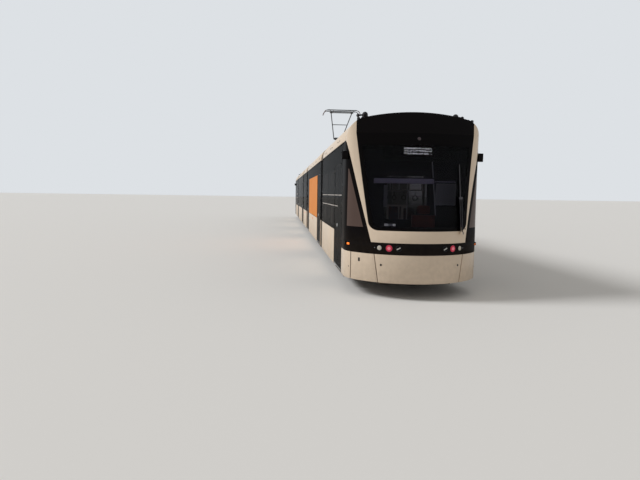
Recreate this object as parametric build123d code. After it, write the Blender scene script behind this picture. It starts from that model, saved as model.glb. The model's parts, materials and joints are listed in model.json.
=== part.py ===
from build123d import *
import os
from math import cos, hypot, radians, sin

# A two-ended articulated low-floor tram in five cars. Two cab cars and a short middle car stand on
# bogies, and two longer cars hang between them on floor hinges. Millimetres, +Z up, +X along the tram.
# The origin is in the middle of the tram at the flange tips, and rail is the height of the rail head.

# Overall body
rail = 28
length = 32200
half_width = 1325
wall = 60
glass = 12
seam = 6
seat_gap = 0.5
nose_x = length / 2

# Where the cars end, measured along X from the middle of the tram
inner_hinge = 1750
outer_hinge = 9800
hinge_gap = 330
cab_depth = 1340
cab_back = nose_x - cab_depth

# Heights
skirt_z = rail + 280
slab_z = rail + 200
floor_z = rail + 350
belt_z = rail + 1090
door_top_z = rail + 2540
ceiling_z = rail + 2620
deck_z = rail + 2700
cant_z = rail + 2952
shoulder_z = rail + 2980
crown_z = rail + 3472

# Side glazing, doors and roof fairing
door_width = 1360
door_post = 55
panel_seam = 6
panel_seam_depth = 8
door_leaf = 40
door_recess = 4
leaf_foot_z = skirt_z + 20
leaf_border = 85
window_sill_z = belt_z + 70
window_head_z = rail + 2470
window_post = 110
window_corner = 90
fairing = 40
fairing_edge = 1000
roof_corner = 400

# Roof equipment
unit_chamfer = 50
louvre_rows = 5
louvre_pitch = 48
louvre_tall = 20
louvre_depth = 14
louvre_margin = 160
fan_r = 250
fan_depth = 45
fan_hub_r = 70
fan_arm = 18
fan_arms = 6

# End portals and the floor hinges between cars
portal = 60
portal_half = 800
portal_head_z = rail + 2400
portal_corner = 140
tongue_r = 700
tongue = 40
tongue_clear = 10
hinge_arm = 60
hinge_arm_half = 150
hinge_pin_r = 60
hinge_collar_r = 100
hinge_clear = 0.3
tongue_lap = 60
jack_pad = 160
jack_depth = 25
jack_y = 1080

# Bellows
bellows_inset = 35
bellows_wall = 100
bellows_groove = 45
bellows_folds = 9

# Bogie and wheels
wheelbase = 1800
end_bogie_x = 11800
wheel_r = 300
wheel_back = 690
wheel_width = 125
axle_r = 60
journal_r = 55
journal_clear = 0.4
bogie_zone = 1410
aisle_half = 600
aisle_z = rail + 430
aisle_plate = 40
podium_z = rail + 700
podium_wall = 40
ramp = 300
axle_z = rail + wheel_r
journal_end = 925
hub_r = 105
rim_r = 238
web_y = (738, 766)
hub_step = 25
flange_width = 32
beam_y = 860
beam_width = 80
beam_z = axle_z + 90
beam_tall = 100
beam_half = 1120
axle_box_half = 105
axle_box_drop = 90
axle_box_rise = 20
axle_box_lip = 15
axle_box_corner = 20
spring_x = 430
spring_r = 90
spring_core_r = 62
spring_rings = 4
motor_arm_x = 330
motor_arm_half = 40
transom_half = 230
transom_z = rail + 170
transom_top_z = rail + 340
motor_r = 118
motor_y = 1112
motor_half = 470
motor_ribs = 7
rib_depth = 10
brake_half = 470
brake_width = 70
brake_z = rail + 12
brake_top_z = rail + 120
brake_hanger = 90

# Front shape. The plan outline at the lamp band and the one at the roof are joined by ruled walls.
frame_foot_z = rail + 1026
band_z = rail + 809
low_reach = 1000
low_corner = 640
top_rake = 620
top_reach = 320
top_corner = 180
shell = 60
screen = 20
screen_foot_z = rail + 1246
screen_foot_half = 930
screen_top_half = 1155
screen_corner = 170
hood_z = rail + 3072
hood_corner = 340
frame_foot_half = 903
frame_back = nose_x - 970
hood_half = fairing_edge - 10
cab_window_back = nose_x - 810
cab_window_offset = 70
cab_window_foot_z = rail + 1297
cab_window_head_z = rail + 2400
bumper_back = 480
bumper_half = 700

# Skirt seams: distance from the middle at the top of the skirt and at its foot
cover_seam = (846, 773)
corner_seam = (1225, 1225)
skirt_seam = 12

# Things on the front
lamp_z = rail + 929
lamp_depth = 45
indicator_x = nose_x - 860
indicator_z = rail + 958
indicator_half_long = 60
indicator_half_tall = 30
pod_x = nose_x - 850
pod_z = rail + 2665
pod_half = 60
pod_half_tall = 80
pod_reach = 85
pod_corner = 25
horn_x = nose_x - 1150
horn_y = 925
horn_r = 58
horn_top_z = rail + 3545
small_horn_r = 34
small_horn_y = 1065
wiper_y = 800
wiper_foot_z = rail + 1190
wiper_head_z = rail + 2500
wiper_gap = 8
wiper_depth = 14
wiper_lap = 40

# Seats
seat_depth = 430
cushion = 90
seat_back = 80
seat_back_height = 720
seat_height = 450
aisle_seat_y = 405
podium_cushion = 200

# Screens by the doors
screen_panel = 30
screen_panel_top_z = rail + 1850
screen_offset = 45
pole_r = 18
pole_y = aisle_seat_y + 20

# Cab
partition = 40
partition_window_half = 450
partition_window_z = (rail + 1400, rail + 2300)
desk_x = nose_x - 620
desk_z = rail + 1120
desk_top = 60
desk_panel = (160, 200)
driver_y = 350
driver_half = 240
driver_back_x = cab_back + 60
driver_depth = 430
driver_seat_z = floor_z + 520
driver_back_z = rail + 1500
driver_foot_half = 120
driver_foot_inset = 90
display_half = 617
display_z = (rail + 2630, rail + 2870)
display_front_x = nose_x - 560
display_depth = 110

# Current collector
collector_x = 3750
arm_length = 1550
rise_deg = 38.7
base_pivot_z = rail + 3450
arm_run = arm_length * cos(radians(rise_deg))
arm_rise = arm_length * sin(radians(rise_deg))
knuckle = (collector_x - arm_run, base_pivot_z + arm_rise)
head_pivot_z = base_pivot_z + 2 * arm_rise
lower_tube_r = 50
upper_tube_r = 19
upper_half_low = 180
upper_half_high = 450
brace_at = 0.55
shaft_r = 28
bearing_r = 44
bearing_long = 55
bearing_out = upper_half_high + 25
sleeve_r = 56
shaft_clear = 0.4
guide_rod_r = 13
guide_rod_y = 95
guide_rod_step = 120
strip_gap = 170
strip_half = 620
strip_width = 42
strip_tall = 32
horn_run = 180
horn_drop = 190
horn_tube_r = 15
head_rise = 90
insulator_r = 45
insulator_shed = 22
shed_tall = 12
shed_pitch = 35
insulator_sheds = 4
shaft_bearing_y = 150
lug_half = 55
lug_side = 12
insulator_x = 420
insulator_y = 380
base_beam = 60
base_beam_tall = 50
base_drop = 110


def box(x0, x1, y0, y1, z0, z1):
    """A block between three pairs of limits."""
    return Pos((x0 + x1) / 2, (y0 + y1) / 2, (z0 + z1) / 2) * Box(x1 - x0, y1 - y0, z1 - z0)


def joined(pieces):
    """All the pieces fused into one."""
    whole = pieces[0]
    for piece in pieces[1:]:
        whole = whole + piece
    return whole


def pair(piece):
    """A piece and its mirror image on the other side of the tram."""
    return [piece, mirror(piece, about=Plane.XZ)]


def bowed_face(base, apex, half, reach, corner_r):
    """A face in the XY plane from base to apex. Its end bows, and both corners are rounded.
    reach is how far the straight sides stop short of the apex."""
    side = half - corner_r
    front_r = (reach**2 + side**2 - corner_r**2) / (2 * (reach - corner_r))
    span = hypot(front_r - reach, side)
    at = (apex - front_r + front_r * (front_r - reach) / span, front_r * side / span)
    turn = apex - reach
    away = hypot((front_r - reach) / span, 1 + side / span)
    mid = (turn + corner_r * (front_r - reach) / span / away, side + corner_r * (1 + side / span) / away)
    edges = [
        Line((base, -half), (base, half)),
        Line((base, half), (turn, half)),
        ThreePointArc((turn, half), mid, at),
        ThreePointArc(at, (apex, 0), (at[0], -at[1])),
        ThreePointArc((at[0], -at[1]), (mid[0], -mid[1]), (turn, -half)),
        Line((turn, -half), (base, -half)),
    ]
    return Face(Wire(edges))


def cross_plane(x):
    """A plane across the tram at x, whose own X runs up and own Y across."""
    return Plane(origin=(x, 0, 0), x_dir=(0, 0, 1), z_dir=(-1, 0, 0))


def body_prism(inset, x0, x1, foot_z):
    """The body's cross-section, inset all round but at its foot, from x0 to x1."""
    reach = crown_z - shoulder_z - inset
    face = bowed_face(foot_z, crown_z - inset, half_width - inset, reach, roof_corner - inset)
    return extrude(cross_plane(x0) * face, amount=x1 - x0, dir=(1, 0, 0))


def cross_prism(points, x0, x1):
    """A polygon of (y, z) points, run from x0 to x1."""
    face = make_face(Polyline(*points, close=True))
    return extrude(Plane.YZ.offset(x0) * face, amount=x1 - x0, dir=(1, 0, 0))


def plan_prism(points, z0, z1):
    """A polygon of (x, y) points, run from z0 up to z1."""
    face = make_face(Polyline(*points, close=True))
    return extrude(Plane.XY.offset(z0) * face, amount=z1 - z0, dir=(0, 0, 1))


def side_prism(points, y0, y1):
    """A polygon of (x, z) points, run from y0 to y1."""
    face = make_face(Polyline(*points, close=True))
    return extrude(Plane.XZ.offset(-y0) * face, amount=y1 - y0, dir=(0, 1, 0))


# The five cars. For each one in the +X half: its ends, its doors, its window spans with their number
# of panes, its bogie and its hinges, each hinge with the way that it lies from the car.
car_ends = {
    "centre": (-inner_hinge + hinge_gap, inner_hinge - hinge_gap),
    "mid": (inner_hinge + hinge_gap, outer_hinge - hinge_gap),
    "end": (outer_hinge + hinge_gap, cab_back),
}
mid_back, mid_front = car_ends["mid"]
end_back, end_front = car_ends["end"]
doors = {
    "centre": [],
    "mid": [
        (mid_back + door_post, mid_back + door_post + door_width),
        (mid_front - door_post - door_width, mid_front - door_post),
    ],
    "end": [(end_front - door_post - door_width, end_front - door_post)],
}
window_spans = {
    "centre": [(*car_ends["centre"], 2)],
    "mid": [(doors["mid"][0][1], doors["mid"][1][0], 3)],
    "end": [(end_back, doors["end"][0][0], 2)],
}
bogies = {"centre": 0, "mid": None, "end": end_bogie_x}
hinges = {
    "centre": [(inner_hinge, 1), (-inner_hinge, -1)],
    "mid": [(inner_hinge, -1), (outer_hinge, 1)],
    "end": [(outer_hinge, -1)],
}
panel_seams = {
    "centre": [-700, 700],
    "mid": [doors["mid"][0][1] + 1520, doors["mid"][1][0] - 1520],
    "end": [end_bogie_x - 1000, end_bogie_x + 1000],
}
jack_points = {"centre": [], "mid": [mid_back + 900, mid_front - 900], "end": [end_front - door_width / 2]}

# Roof equipment by car: x0, x1, half of its width, height over the deck, number of fans
roof_units = {
    "centre": [(-950, 950, 780, 420, 2)],
    "mid": [(2900, 4650, 640, 430, 0), (5300, 7100, 800, 480, 2), (7700, 8900, 700, 400, 0)],
    "end": [(10500, 12300, 820, 480, 2), (12700, 14300, 760, 430, 0)],
}


def panes(car):
    """The (x0, x1) of each window pane of a car, with the seams between them left open."""
    found = []
    for x0, x1, count in window_spans[car]:
        step = (x1 - x0) / count
        found += [(x0 + n * step + seam / 2, x0 + (n + 1) * step - seam / 2) for n in range(count)]
    return found


# Side walls, with the roof fairing over them
def walls(car):
    """Both side walls of a car, each a lower panel with the window band set back behind the glazing, and
    the roof fairings that stand on them."""
    x0, x1 = car_ends[car]
    top_x1 = frame_back if car == "end" else x1
    inner, back = half_width - wall, half_width - glass
    ring = body_prism(0, x0, top_x1, cant_z) - body_prism(fairing, x0, top_x1, cant_z - fairing)
    top = ring & box(x0, top_x1, fairing_edge, half_width, cant_z, crown_z)
    side = box(x0, x1, inner, half_width, skirt_z, belt_z) + box(x0, x1, inner, back, belt_z, cant_z - seat_gap)
    through, far = inner - wall, half_width + wall
    for a, b in doors[car]:
        side = side - box(a, b, through, far, skirt_z - wall, door_top_z)
    for x in panel_seams[car]:
        a, b = x - panel_seam / 2, x + panel_seam / 2
        side = side - box(a, b, half_width - panel_seam_depth, far, skirt_z - wall, belt_z)
    for x0, x1 in panes(car):
        a, b = x0 + window_post / 2, x1 - window_post / 2
        hole = box(a, b, through, far, window_sill_z, window_head_z)
        side = side - fillet(hole.edges().filter_by(Axis.Y), window_corner)
    return pair(side) + pair(top)


def glazing(car):
    """The flush panes of a car: windows, the panels over its doors, and the outer panes of the door leaves."""
    back = half_width - glass
    found = [box(a, b, back, half_width, belt_z, cant_z - seam) for a, b in panes(car)]
    for a, b in doors[car]:
        found.append(box(a, b, back, half_width, door_top_z + seam, cant_z - seam))
    for a, b in leaves(car):
        found.append(box(a, b, back, back + glass - door_recess, leaf_foot_z, door_top_z - seam))
    return [p for piece in found for p in pair(piece)]


def leaves(car):
    """The (x0, x1) of each door leaf on one side of a car."""
    found = []
    for a, b in doors[car]:
        middle = (a + b) / 2
        found += [(a + seam, middle - seam / 2), (middle + seam / 2, b - seam)]
    return found


def door_leaves(car):
    """The frames of the door leaves, which hang from the top of their openings."""
    back = half_width - glass
    found = []
    for a, b in leaves(car):
        leaf = box(a, b, back - door_leaf, back, leaf_foot_z, door_top_z - seat_gap)
        foot, head = leaf_foot_z + leaf_border, door_top_z - leaf_border
        light = box(a + leaf_border, b - leaf_border, back - wall, half_width, foot, head)
        found += pair(leaf - fillet(light.edges().filter_by(Axis.Y), window_corner / 2))
    return found


# Roof deck, its equipment and the portals that end each car
def roof_unit(x0, x1, half, tall, fans):
    """A roof housing with louvred sides and, on top, a row of fans behind spoked guards."""
    foot = deck_z + seat_gap
    block = box(x0, x1, -half, half, foot, foot + tall)
    block = chamfer(block.edges().group_by(Axis.Z)[-1], unit_chamfer)
    a, b = x0 + louvre_margin, x1 - louvre_margin
    for row in range(louvre_rows):
        z = foot + louvre_margin / 2 + row * louvre_pitch
        slots = box(a, b, half - louvre_depth, half + wall, z, z + louvre_tall)
        for slot in pair(slots):
            block = block - slot
    for n in range(fans):
        at = Pos(x0 + (x1 - x0) * (n + 0.5) / fans, 0, foot + tall)
        block = block - at * Cylinder(fan_r, 2 * fan_depth)
        guard = [at * Pos(0, 0, -fan_depth / 2) * Cylinder(fan_hub_r, fan_depth)]
        for arm in range(fan_arms // 2):
            turn = Rot(0, 0, arm * 360 / fan_arms)
            guard.append(at * turn * Pos(0, 0, -fan_arm / 2) * Box(2 * fan_r + fan_arm, fan_arm, fan_arm))
        block = joined([block, *guard])
    return block


def roof(car):
    """The roof deck between the portals that stand at the open ends of the car, and its equipment."""
    x0, x1 = car_ends[car]
    inner = half_width - wall
    portals = []
    for hinge, way in hinges[car]:
        face_x = hinge - way * hinge_gap
        p0, p1 = sorted((face_x, face_x - way * portal))
        x0, x1 = (x0, p0 - seat_gap) if way > 0 else (p1 + seat_gap, x1)
        top = body_prism(wall + seam, p0, p1, floor_z)
        plate = top & box(p0, p1, -inner, inner, floor_z, crown_z)
        way_through = box(p0 - portal, p1 + portal, -portal_half, portal_half, floor_z - portal, portal_head_z)
        high_edges = way_through.edges().filter_by(Axis.X).group_by(Axis.Z)[-1]
        portals.append(plate - fillet(high_edges, portal_corner))
    deck = box(x0, x1, -inner, inner, ceiling_z, deck_z)
    return [deck, *portals, *(roof_unit(*unit) for unit in roof_units[car])]


# Floors, podiums over the wheels and the floor hinges
def hinge_plate(hinge, way):
    """The round gangway plate of a hung car at one hinge, let into the end of its floor, with its pin."""
    back = hinge - way * (hinge_gap + tongue_lap)
    x0, x1 = sorted((hinge, back))
    far0, far1 = sorted((hinge + way * 2 * tongue_r, back))
    disc = Pos(hinge, 0, floor_z - tongue / 2) * Cylinder(tongue_r, tongue)
    plate = disc + box(x0, x1, -tongue_r, tongue_r, floor_z - tongue, floor_z)
    plate = plate & box(far0, far1, -2 * tongue_r, 2 * tongue_r, slab_z, floor_z)
    collar_z = slab_z + hinge_arm + hinge_clear
    under = floor_z - tongue
    collar = Pos(hinge, 0, (collar_z + under) / 2) * Cylinder(hinge_collar_r, under - collar_z)
    pin = Pos(hinge, 0, (slab_z + under) / 2) * Cylinder(hinge_pin_r - hinge_clear, under - slab_z)
    return joined([plate, collar, pin])


def plate_seat(hinge, way):
    """The rebate that a hinge plate takes in the end of its car's floor."""
    end = hinge - way * hinge_gap
    x0, x1 = sorted((end + way * tongue_lap, end - way * (tongue_lap + seat_gap)))
    side = tongue_r + seat_gap
    return box(x0, x1, -side, side, floor_z - tongue - seat_gap, floor_z + tongue)


def arm_of(hinge, way):
    """The arm of a bogie car that carries the hinge pin of the next car."""
    x0, x1 = sorted((hinge, hinge - way * (hinge_gap + wall)))
    arm = joined(
        [
            box(x0, x1, -hinge_arm_half, hinge_arm_half, slab_z, slab_z + hinge_arm),
            Pos(hinge, 0, slab_z + hinge_arm / 2) * Cylinder(hinge_arm_half, hinge_arm),
        ]
    )
    return arm - Pos(hinge, 0, slab_z + hinge_arm / 2) * Cylinder(hinge_pin_r, 2 * hinge_arm)


def aisle_and_podiums(b0, b1):
    """The raised aisle over a bogie, with a ramp at each end, and the hollow podiums beside it."""
    inner = half_width - wall
    rise = [
        (b0 - podium_wall, floor_z - aisle_plate),
        (b0, floor_z - aisle_plate),
        (b0 + ramp, aisle_z - aisle_plate),
        (b1 - ramp, aisle_z - aisle_plate),
        (b1, floor_z - aisle_plate),
        (b1 + podium_wall, floor_z - aisle_plate),
        (b1 + podium_wall, floor_z),
        (b1, floor_z),
        (b1 - ramp, aisle_z),
        (b0 + ramp, aisle_z),
        (b0, floor_z),
        (b0 - podium_wall, floor_z),
    ]
    side = aisle_half - seat_gap
    block = box(b0 - podium_wall, b1 + podium_wall, aisle_half, inner, floor_z - aisle_plate, podium_z)
    room = box(b0, b1, aisle_half + podium_wall, inner + wall, slab_z - wall, podium_z - podium_wall)
    axle_way = box(b0 + ramp, b1 - ramp, aisle_half - wall, inner, slab_z - wall, aisle_z - aisle_plate)
    return [side_prism(rise, -side, side), *pair(block - room - axle_way)]


def hung_floor(car):
    """The floor of a hung car: one slab with a jack pad near each corner and seats for its hinge plates."""
    x0, x1 = car_ends[car]
    inner = half_width - wall
    slab = joined([box(x0, x1, -inner, inner, slab_z, floor_z), *jack_pads(car)])
    for hinge, way in hinges[car]:
        slab = slab - plate_seat(hinge, way)
    return [slab]


def jack_pads(car):
    """The pads under a car's floor on which jacks lift it."""
    pads = []
    for x in jack_points[car]:
        pads += pair(Pos(x, jack_y, slab_z - jack_depth / 2) * Box(jack_pad, jack_pad, jack_depth))
    return pads


def bogie_floor(car):
    """The floor of a car over a bogie: a low slab at each end, with the arms that carry the hinge pins of
    the next cars, and the raised aisle between two podiums."""
    x0, x1 = car_ends[car]
    inner = half_width - wall
    step = podium_wall + seat_gap
    b0 = max(bogies[car] - bogie_zone, x0 + portal + step)
    b1 = min(bogies[car] + bogie_zone, x1 - portal - step)
    low = [box(x0, b0 - step, -inner, inner, slab_z, floor_z)]
    high = [box(b1 + step, x1, -inner, inner, slab_z, floor_z), *jack_pads(car)]
    for hinge, way in hinges[car]:
        (high if way > 0 else low).append(arm_of(hinge, way))
    if car == "end":
        nose = nose_solid(shell + seat_gap) & box(cab_back - wall, nose_x, -inner, inner, skirt_z, floor_z)
        high.append(nose)
        high.append(box(cab_back - wall, nose_x - bumper_back, -bumper_half, bumper_half, slab_z, skirt_z))
    pieces = [joined(low), joined(high), *aisle_and_podiums(b0, b1)]
    for hinge, way in hinges[car]:
        recess = Pos(hinge, 0, floor_z) * Cylinder(tongue_r + tongue_clear, 2 * (tongue + tongue_clear))
        pieces = [piece - recess for piece in pieces]
    return pieces


def floor(car):
    """The floor of a car."""
    return hung_floor(car) if bogies[car] is None else bogie_floor(car)


# Bellows
def bellows(hinge):
    """One folded bellows, open at its foot, between two car ends."""
    x0, x1 = hinge - hinge_gap, hinge + hinge_gap
    outer, inner = bellows_inset, bellows_inset + bellows_wall
    core = body_prism(outer + bellows_groove, x0, x1, skirt_z) - body_prism(inner, x0, x1, skirt_z - wall)
    pitch = (x1 - x0) / (2 * bellows_folds + 1)
    for n in range(bellows_folds + 1):
        a = x0 + 2 * n * pitch
        fold = body_prism(outer, a, a + pitch, skirt_z) - body_prism(inner, a, a + pitch, skirt_z - wall)
        core = core + fold
    return core


# Front
def nose_solid(inset):
    """The whole front of a cab car, inset all round: upright up to the lamp band, then leaning back."""
    side = half_width - inset
    tip = nose_x - inset
    foot = bowed_face(cab_back, tip, side, low_reach - inset, low_corner - inset)
    head = bowed_face(cab_back, tip - top_rake, side, top_reach - inset, top_corner - inset)
    levels = [(skirt_z, foot), (frame_foot_z, foot), (crown_z + shell, head)]
    hull = loft([Pos(0, 0, z) * face for z, face in levels], ruled=True)
    return hull & body_prism(inset, cab_back, nose_x, skirt_z - shell)


def screen_region(grow):
    """The outline of the dark front opening, grown by a little, as a prism through the front."""
    foot, side = screen_foot_z - grow, screen_foot_half + grow
    top, corner_y = screen_top_half + grow, screen_top_half - hood_corner
    corner_r = hood_corner + grow
    bend = corner_r * sin(radians(45))
    corner_z, far_z = hood_z + corner_r, crown_z + shell
    edges = [
        Line((-side, foot), (side, foot)),
        Line((side, foot), (top, hood_z)),
        ThreePointArc((top, hood_z), (corner_y + bend, hood_z + bend), (corner_y, corner_z)),
        Line((corner_y, corner_z), (corner_y, far_z)),
        Line((corner_y, far_z), (-corner_y, far_z)),
        Line((-corner_y, far_z), (-corner_y, corner_z)),
        ThreePointArc((-corner_y, corner_z), (-corner_y - bend, hood_z + bend), (-top, hood_z)),
        Line((-top, hood_z), (-side, foot)),
    ]
    face = make_face(edges)
    prism = extrude(Plane.YZ.offset(cab_back - wall) * face, amount=cab_depth + 2 * wall, dir=(1, 0, 0))
    low_edges = prism.edges().filter_by(Axis.X).group_by(Axis.Z)[0]
    return fillet(low_edges, screen_corner)


def frame_half(z):
    """Half of the white frame's outer width at height z."""
    return frame_foot_half + (half_width - frame_foot_half) * (z - frame_foot_z) / (cant_z - frame_foot_z)


def beside_frame(grow, z0, z1, x0):
    """The room outside the white frame's slanted edge, on one side, moved out by grow."""
    far = half_width + wall
    points = [(frame_half(z0) + grow, z0), (far, z0), (far, z1), (frame_half(z1) + grow, z1)]
    return cross_prism(points, x0, nose_x + wall)


def cab_window(gap):
    """The room of one cab side window, smaller all round by a gap."""
    foot, head = cab_window_foot_z + gap, cab_window_head_z - gap
    return beside_frame(cab_window_offset + gap, foot, head, cab_window_back + gap)


# Front lamps: name, y and radius of each, on the lamp band
front_lamps = [("head", 764, 44), ("tail", 600, 62), ("signal", 436, 50)]


def lamp_solid(y, r, grow):
    """A round lamp let into the lamp band, grown by a little for its hole."""
    blank = Pos(nose_x, y, lamp_z) * Rot(0, 90, 0) * Cylinder(r + grow, cab_depth)
    return blank & (nose_solid(0) - nose_solid(lamp_depth + grow))


def indicator_solid(grow):
    """The amber side lamp of a cab car, let into its side and grown by a little for its hole."""
    half_long, half_tall = indicator_half_long + grow, indicator_half_tall + grow
    return box(
        indicator_x - half_long, indicator_x + half_long,
        half_width - lamp_depth - grow, half_width + 2 * grow,
        indicator_z - half_tall, indicator_z + half_tall,
    )


def pod():
    """The rear-view camera pod on one side, narrower at its tip."""
    root, tip = half_width - shell / 2, half_width + pod_reach
    outline = [
        (pod_x - pod_half, root),
        (pod_x + pod_half, root),
        (pod_x + pod_half / 3, tip),
        (pod_x - pod_half, tip),
    ]
    block = plan_prism(outline, pod_z - pod_half_tall, pod_z + pod_half_tall)
    return fillet(block.edges().filter_by(Axis.Z).group_by(Axis.Y)[-1], pod_corner)


def horns():
    """The domed horn of one side and the small aerial on its bracket."""
    foot = crown_z - 2 * shell
    top = horn_top_z - horn_r
    small_top = top - small_horn_r / 2
    return joined(
        [
            Pos(horn_x, horn_y, (foot + top) / 2) * Cylinder(horn_r, top - foot),
            Pos(horn_x, horn_y, top) * Sphere(horn_r),
            rod((horn_x, horn_y, top), (horn_x, small_horn_y, small_top), small_horn_r / 2),
            Pos(horn_x, small_horn_y, small_top) * Sphere(small_horn_r),
        ]
    )


def wiper():
    """The wiper, parked upright: a blade along the glass and two rods down to its spindle."""
    near, middle, far = (nose_solid(-wiper_gap - n * wiper_depth) for n in (0, 1, 3))
    half = wiper_depth / 2
    middle_z = (wiper_foot_z + wiper_head_z) / 2
    x0, x1 = frame_back, nose_x + shell
    blade_zone = box(x0, x1, wiper_y - half, wiper_y + half, middle_z - wiper_lap, wiper_head_z)
    whole = [(middle - near) & blade_zone]
    for side in (-wiper_lap / 2, wiper_lap / 2):
        y = wiper_y + side
        rod_zone = box(x0, x1, y - half / 2, y + half / 2, wiper_foot_z, middle_z + wiper_lap)
        whole.append((far - middle) & rod_zone)
    for z in (wiper_foot_z, middle_z):
        tie_zone = box(x0, x1, wiper_y - wiper_lap, wiper_y + wiper_lap, z, z + wiper_lap)
        whole.append((far - middle) & tie_zone)
    spindle = Pos(nose_x - cab_depth / 2, wiper_y, wiper_foot_z + wiper_lap / 2) * Rot(0, 90, 0)
    boss = spindle * Cylinder(wiper_lap / 2, cab_depth)
    whole.append((far - nose_solid(-seat_gap)) & boss)
    return joined(whole)


def front_pieces():
    """The nodes of the front: windscreen, white frame, black panels, skirt panels, lamps and cab side panes."""
    outside = nose_solid(0)
    thick = outside - nose_solid(shell)
    thin = outside - nose_solid(screen)
    opening, full = screen_region(0), screen_region(seat_gap)
    inner = half_width + wall
    below_hood = box(cab_back, nose_x, -inner, inner, screen_foot_z - wall, hood_z - seat_gap)
    above_hood = box(frame_back, nose_x, -inner, inner, hood_z, crown_z)
    windscreen = thin & opening & below_hood

    lower_half = [(-frame_foot_half, frame_foot_z), (frame_foot_half, frame_foot_z)]
    upper_half = [(half_width, cant_z), (-half_width, cant_z)]
    frame_zone = cross_prism(lower_half + upper_half, cab_back, nose_x)
    frame_zone = frame_zone + box(frame_back, nose_x, -inner, inner, cant_z, crown_z)
    white_frame = ((thick & frame_zone) - full) & box(frame_back, nose_x, -inner, inner, frame_foot_z, crown_z)

    hood = thick & opening & above_hood
    under_hood = body_prism(shell, cab_back, frame_back, cant_z - shell)
    rear_hood = body_prism(0, cab_back, frame_back, cant_z) - under_hood
    rear_hood = rear_hood & box(cab_back, frame_back, -hood_half, hood_half, cant_z, crown_z)
    hood = joined([hood, rear_hood, *pair(horns())])

    band = thick & box(cab_back, nose_x, -inner, inner, band_z, frame_foot_z - seat_gap)
    cheek_zone = beside_frame(seat_gap, frame_foot_z, cant_z - seat_gap, cab_back)
    cheek = ((thick & cheek_zone) - cab_window(0)) + pod()
    for _, y, r in front_lamps:
        band = band - lamp_solid(y, r, seat_gap) - lamp_solid(-y, r, seat_gap)
    for hole in pair(indicator_solid(seat_gap)):
        band = band - hole

    lamps = [p for _, y, r in front_lamps for p in (lamp_solid(y, r, 0), lamp_solid(-y, r, 0))]
    lamps += pair(indicator_solid(0))
    side_panes = pair(thin & cab_window(seat_gap))
    return {
        "windscreen": [windscreen],
        "frame": [white_frame],
        "black_panels": [band, *pair(cheek), hood],
        "skirt": skirt_panels(thick),
        "lamps": lamps,
        "wiper": [wiper()],
        "side_panes": side_panes,
    }


def skirt_panels(thick):
    """The white skirt under the lamp band: the coupler cover, two corner panels and two side panels."""
    ring = thick & box(cab_back, nose_x, -half_width, half_width, skirt_z, band_z - seat_gap)
    far = half_width + wall
    gap = skirt_seam / 2
    (cover_top, cover_foot), (corner_top, corner_foot) = cover_seam, corner_seam

    def panel(foot0, foot1, top1, top0):
        """A panel's room between two seams, each given by its y at the foot and at the top."""
        points = [(foot0 + gap, skirt_z), (foot1 - gap, skirt_z), (top1 - gap, band_z), (top0 + gap, band_z)]
        return cross_prism(points, cab_back, nose_x)

    cover = ring & panel(-cover_foot, cover_foot, cover_top, -cover_top)
    corner = ring & panel(cover_foot, corner_foot, corner_top, cover_top)
    side = ring & panel(corner_foot, far, far, corner_top)
    return [cover, *pair(corner), *pair(side)]


# Seats, screens and the cab
def seat(x, way, aisle_y, base_z, cushion_z):
    """A double seat on its plinth, facing +X if way is 1. x is the front edge of its cushion."""
    back_x = x - way * seat_depth
    points = [
        (x - way * seat_depth / 4, base_z),
        (x - way * seat_depth / 4, cushion_z - cushion),
        (x, cushion_z - cushion),
        (x, cushion_z),
        (back_x + way * seat_back, cushion_z),
        (back_x - way * seat_back / 2, cushion_z + seat_back_height),
        (back_x - way * seat_back, cushion_z + seat_back_height),
        (back_x, cushion_z - cushion),
        (back_x, base_z),
    ]
    return side_prism(points, aisle_y, half_width - wall - seat_gap)


# Seats by car: x of the cushion's front edge, the way it faces, True on a podium
seat_rows = {
    "centre": [(-200, 1, True), (200, -1, True)],
    "mid": [(4400, 1, False), (4900, -1, False), (6300, 1, False), (6800, -1, False)],
    "end": [(10900, 1, True), (11600, -1, True), (12640, 1, True)],
}


def fittings(car):
    """The seats, draught screens and poles of a car, and the partition, desk and seat of a cab."""
    found = []
    for x, way, raised in seat_rows[car]:
        base = podium_z if raised else floor_z
        top = podium_z + podium_cushion if raised else floor_z + seat_height
        found += pair(seat(x, way, aisle_half if raised else aisle_seat_y, base, top))
    for a, b in doors[car]:
        for x in screen_places(car, a, b):
            a_x, b_x = x - screen_panel / 2, x + screen_panel / 2
            panel = box(a_x, b_x, pole_y, half_width - wall, floor_z, screen_panel_top_z)
            pole = Pos(x, pole_y, (floor_z + ceiling_z) / 2) * Cylinder(pole_r, ceiling_z - floor_z)
            found += pair(panel + pole)
    if car == "end":
        found += cab_fittings()
    return found


def screen_places(car, a, b):
    """Where the draught screens of a door stand: on each side that has seats."""
    x0, x1 = car_ends[car]
    margin = wall + screen_offset
    return [x for x in (a - screen_offset, b + screen_offset) if x0 + margin < x < x1 - margin]


def cab_fittings():
    """The partition behind the cab, the desk, the driver's seat and the ceiling with its display."""
    side = half_width - wall - seat_gap
    wall_plate = box(cab_back - partition, cab_back, -side, side, floor_z, ceiling_z)
    x0, x1 = cab_back - 2 * partition, cab_back + partition
    window = box(x0, x1, -partition_window_half, partition_window_half, *partition_window_z)
    wall_plate = wall_plate - fillet(window.edges().filter_by(Axis.X), window_corner)
    room = nose_solid(shell + seat_gap)
    desk = room & joined(
        [
            box(desk_x, nose_x, -half_width, half_width, desk_z - desk_top, desk_z),
            box(desk_x + desk_panel[0], desk_x + desk_panel[1], -half_width, half_width, floor_z, desk_z),
        ]
    )
    case = box(display_front_x - display_depth, display_front_x, -display_half, display_half, *display_z)
    ceiling = room & box(cab_back, nose_x, -half_width, half_width, display_z[1] - partition, display_z[1])
    return [wall_plate, desk, driver_seat(), joined([ceiling, case])]


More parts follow.
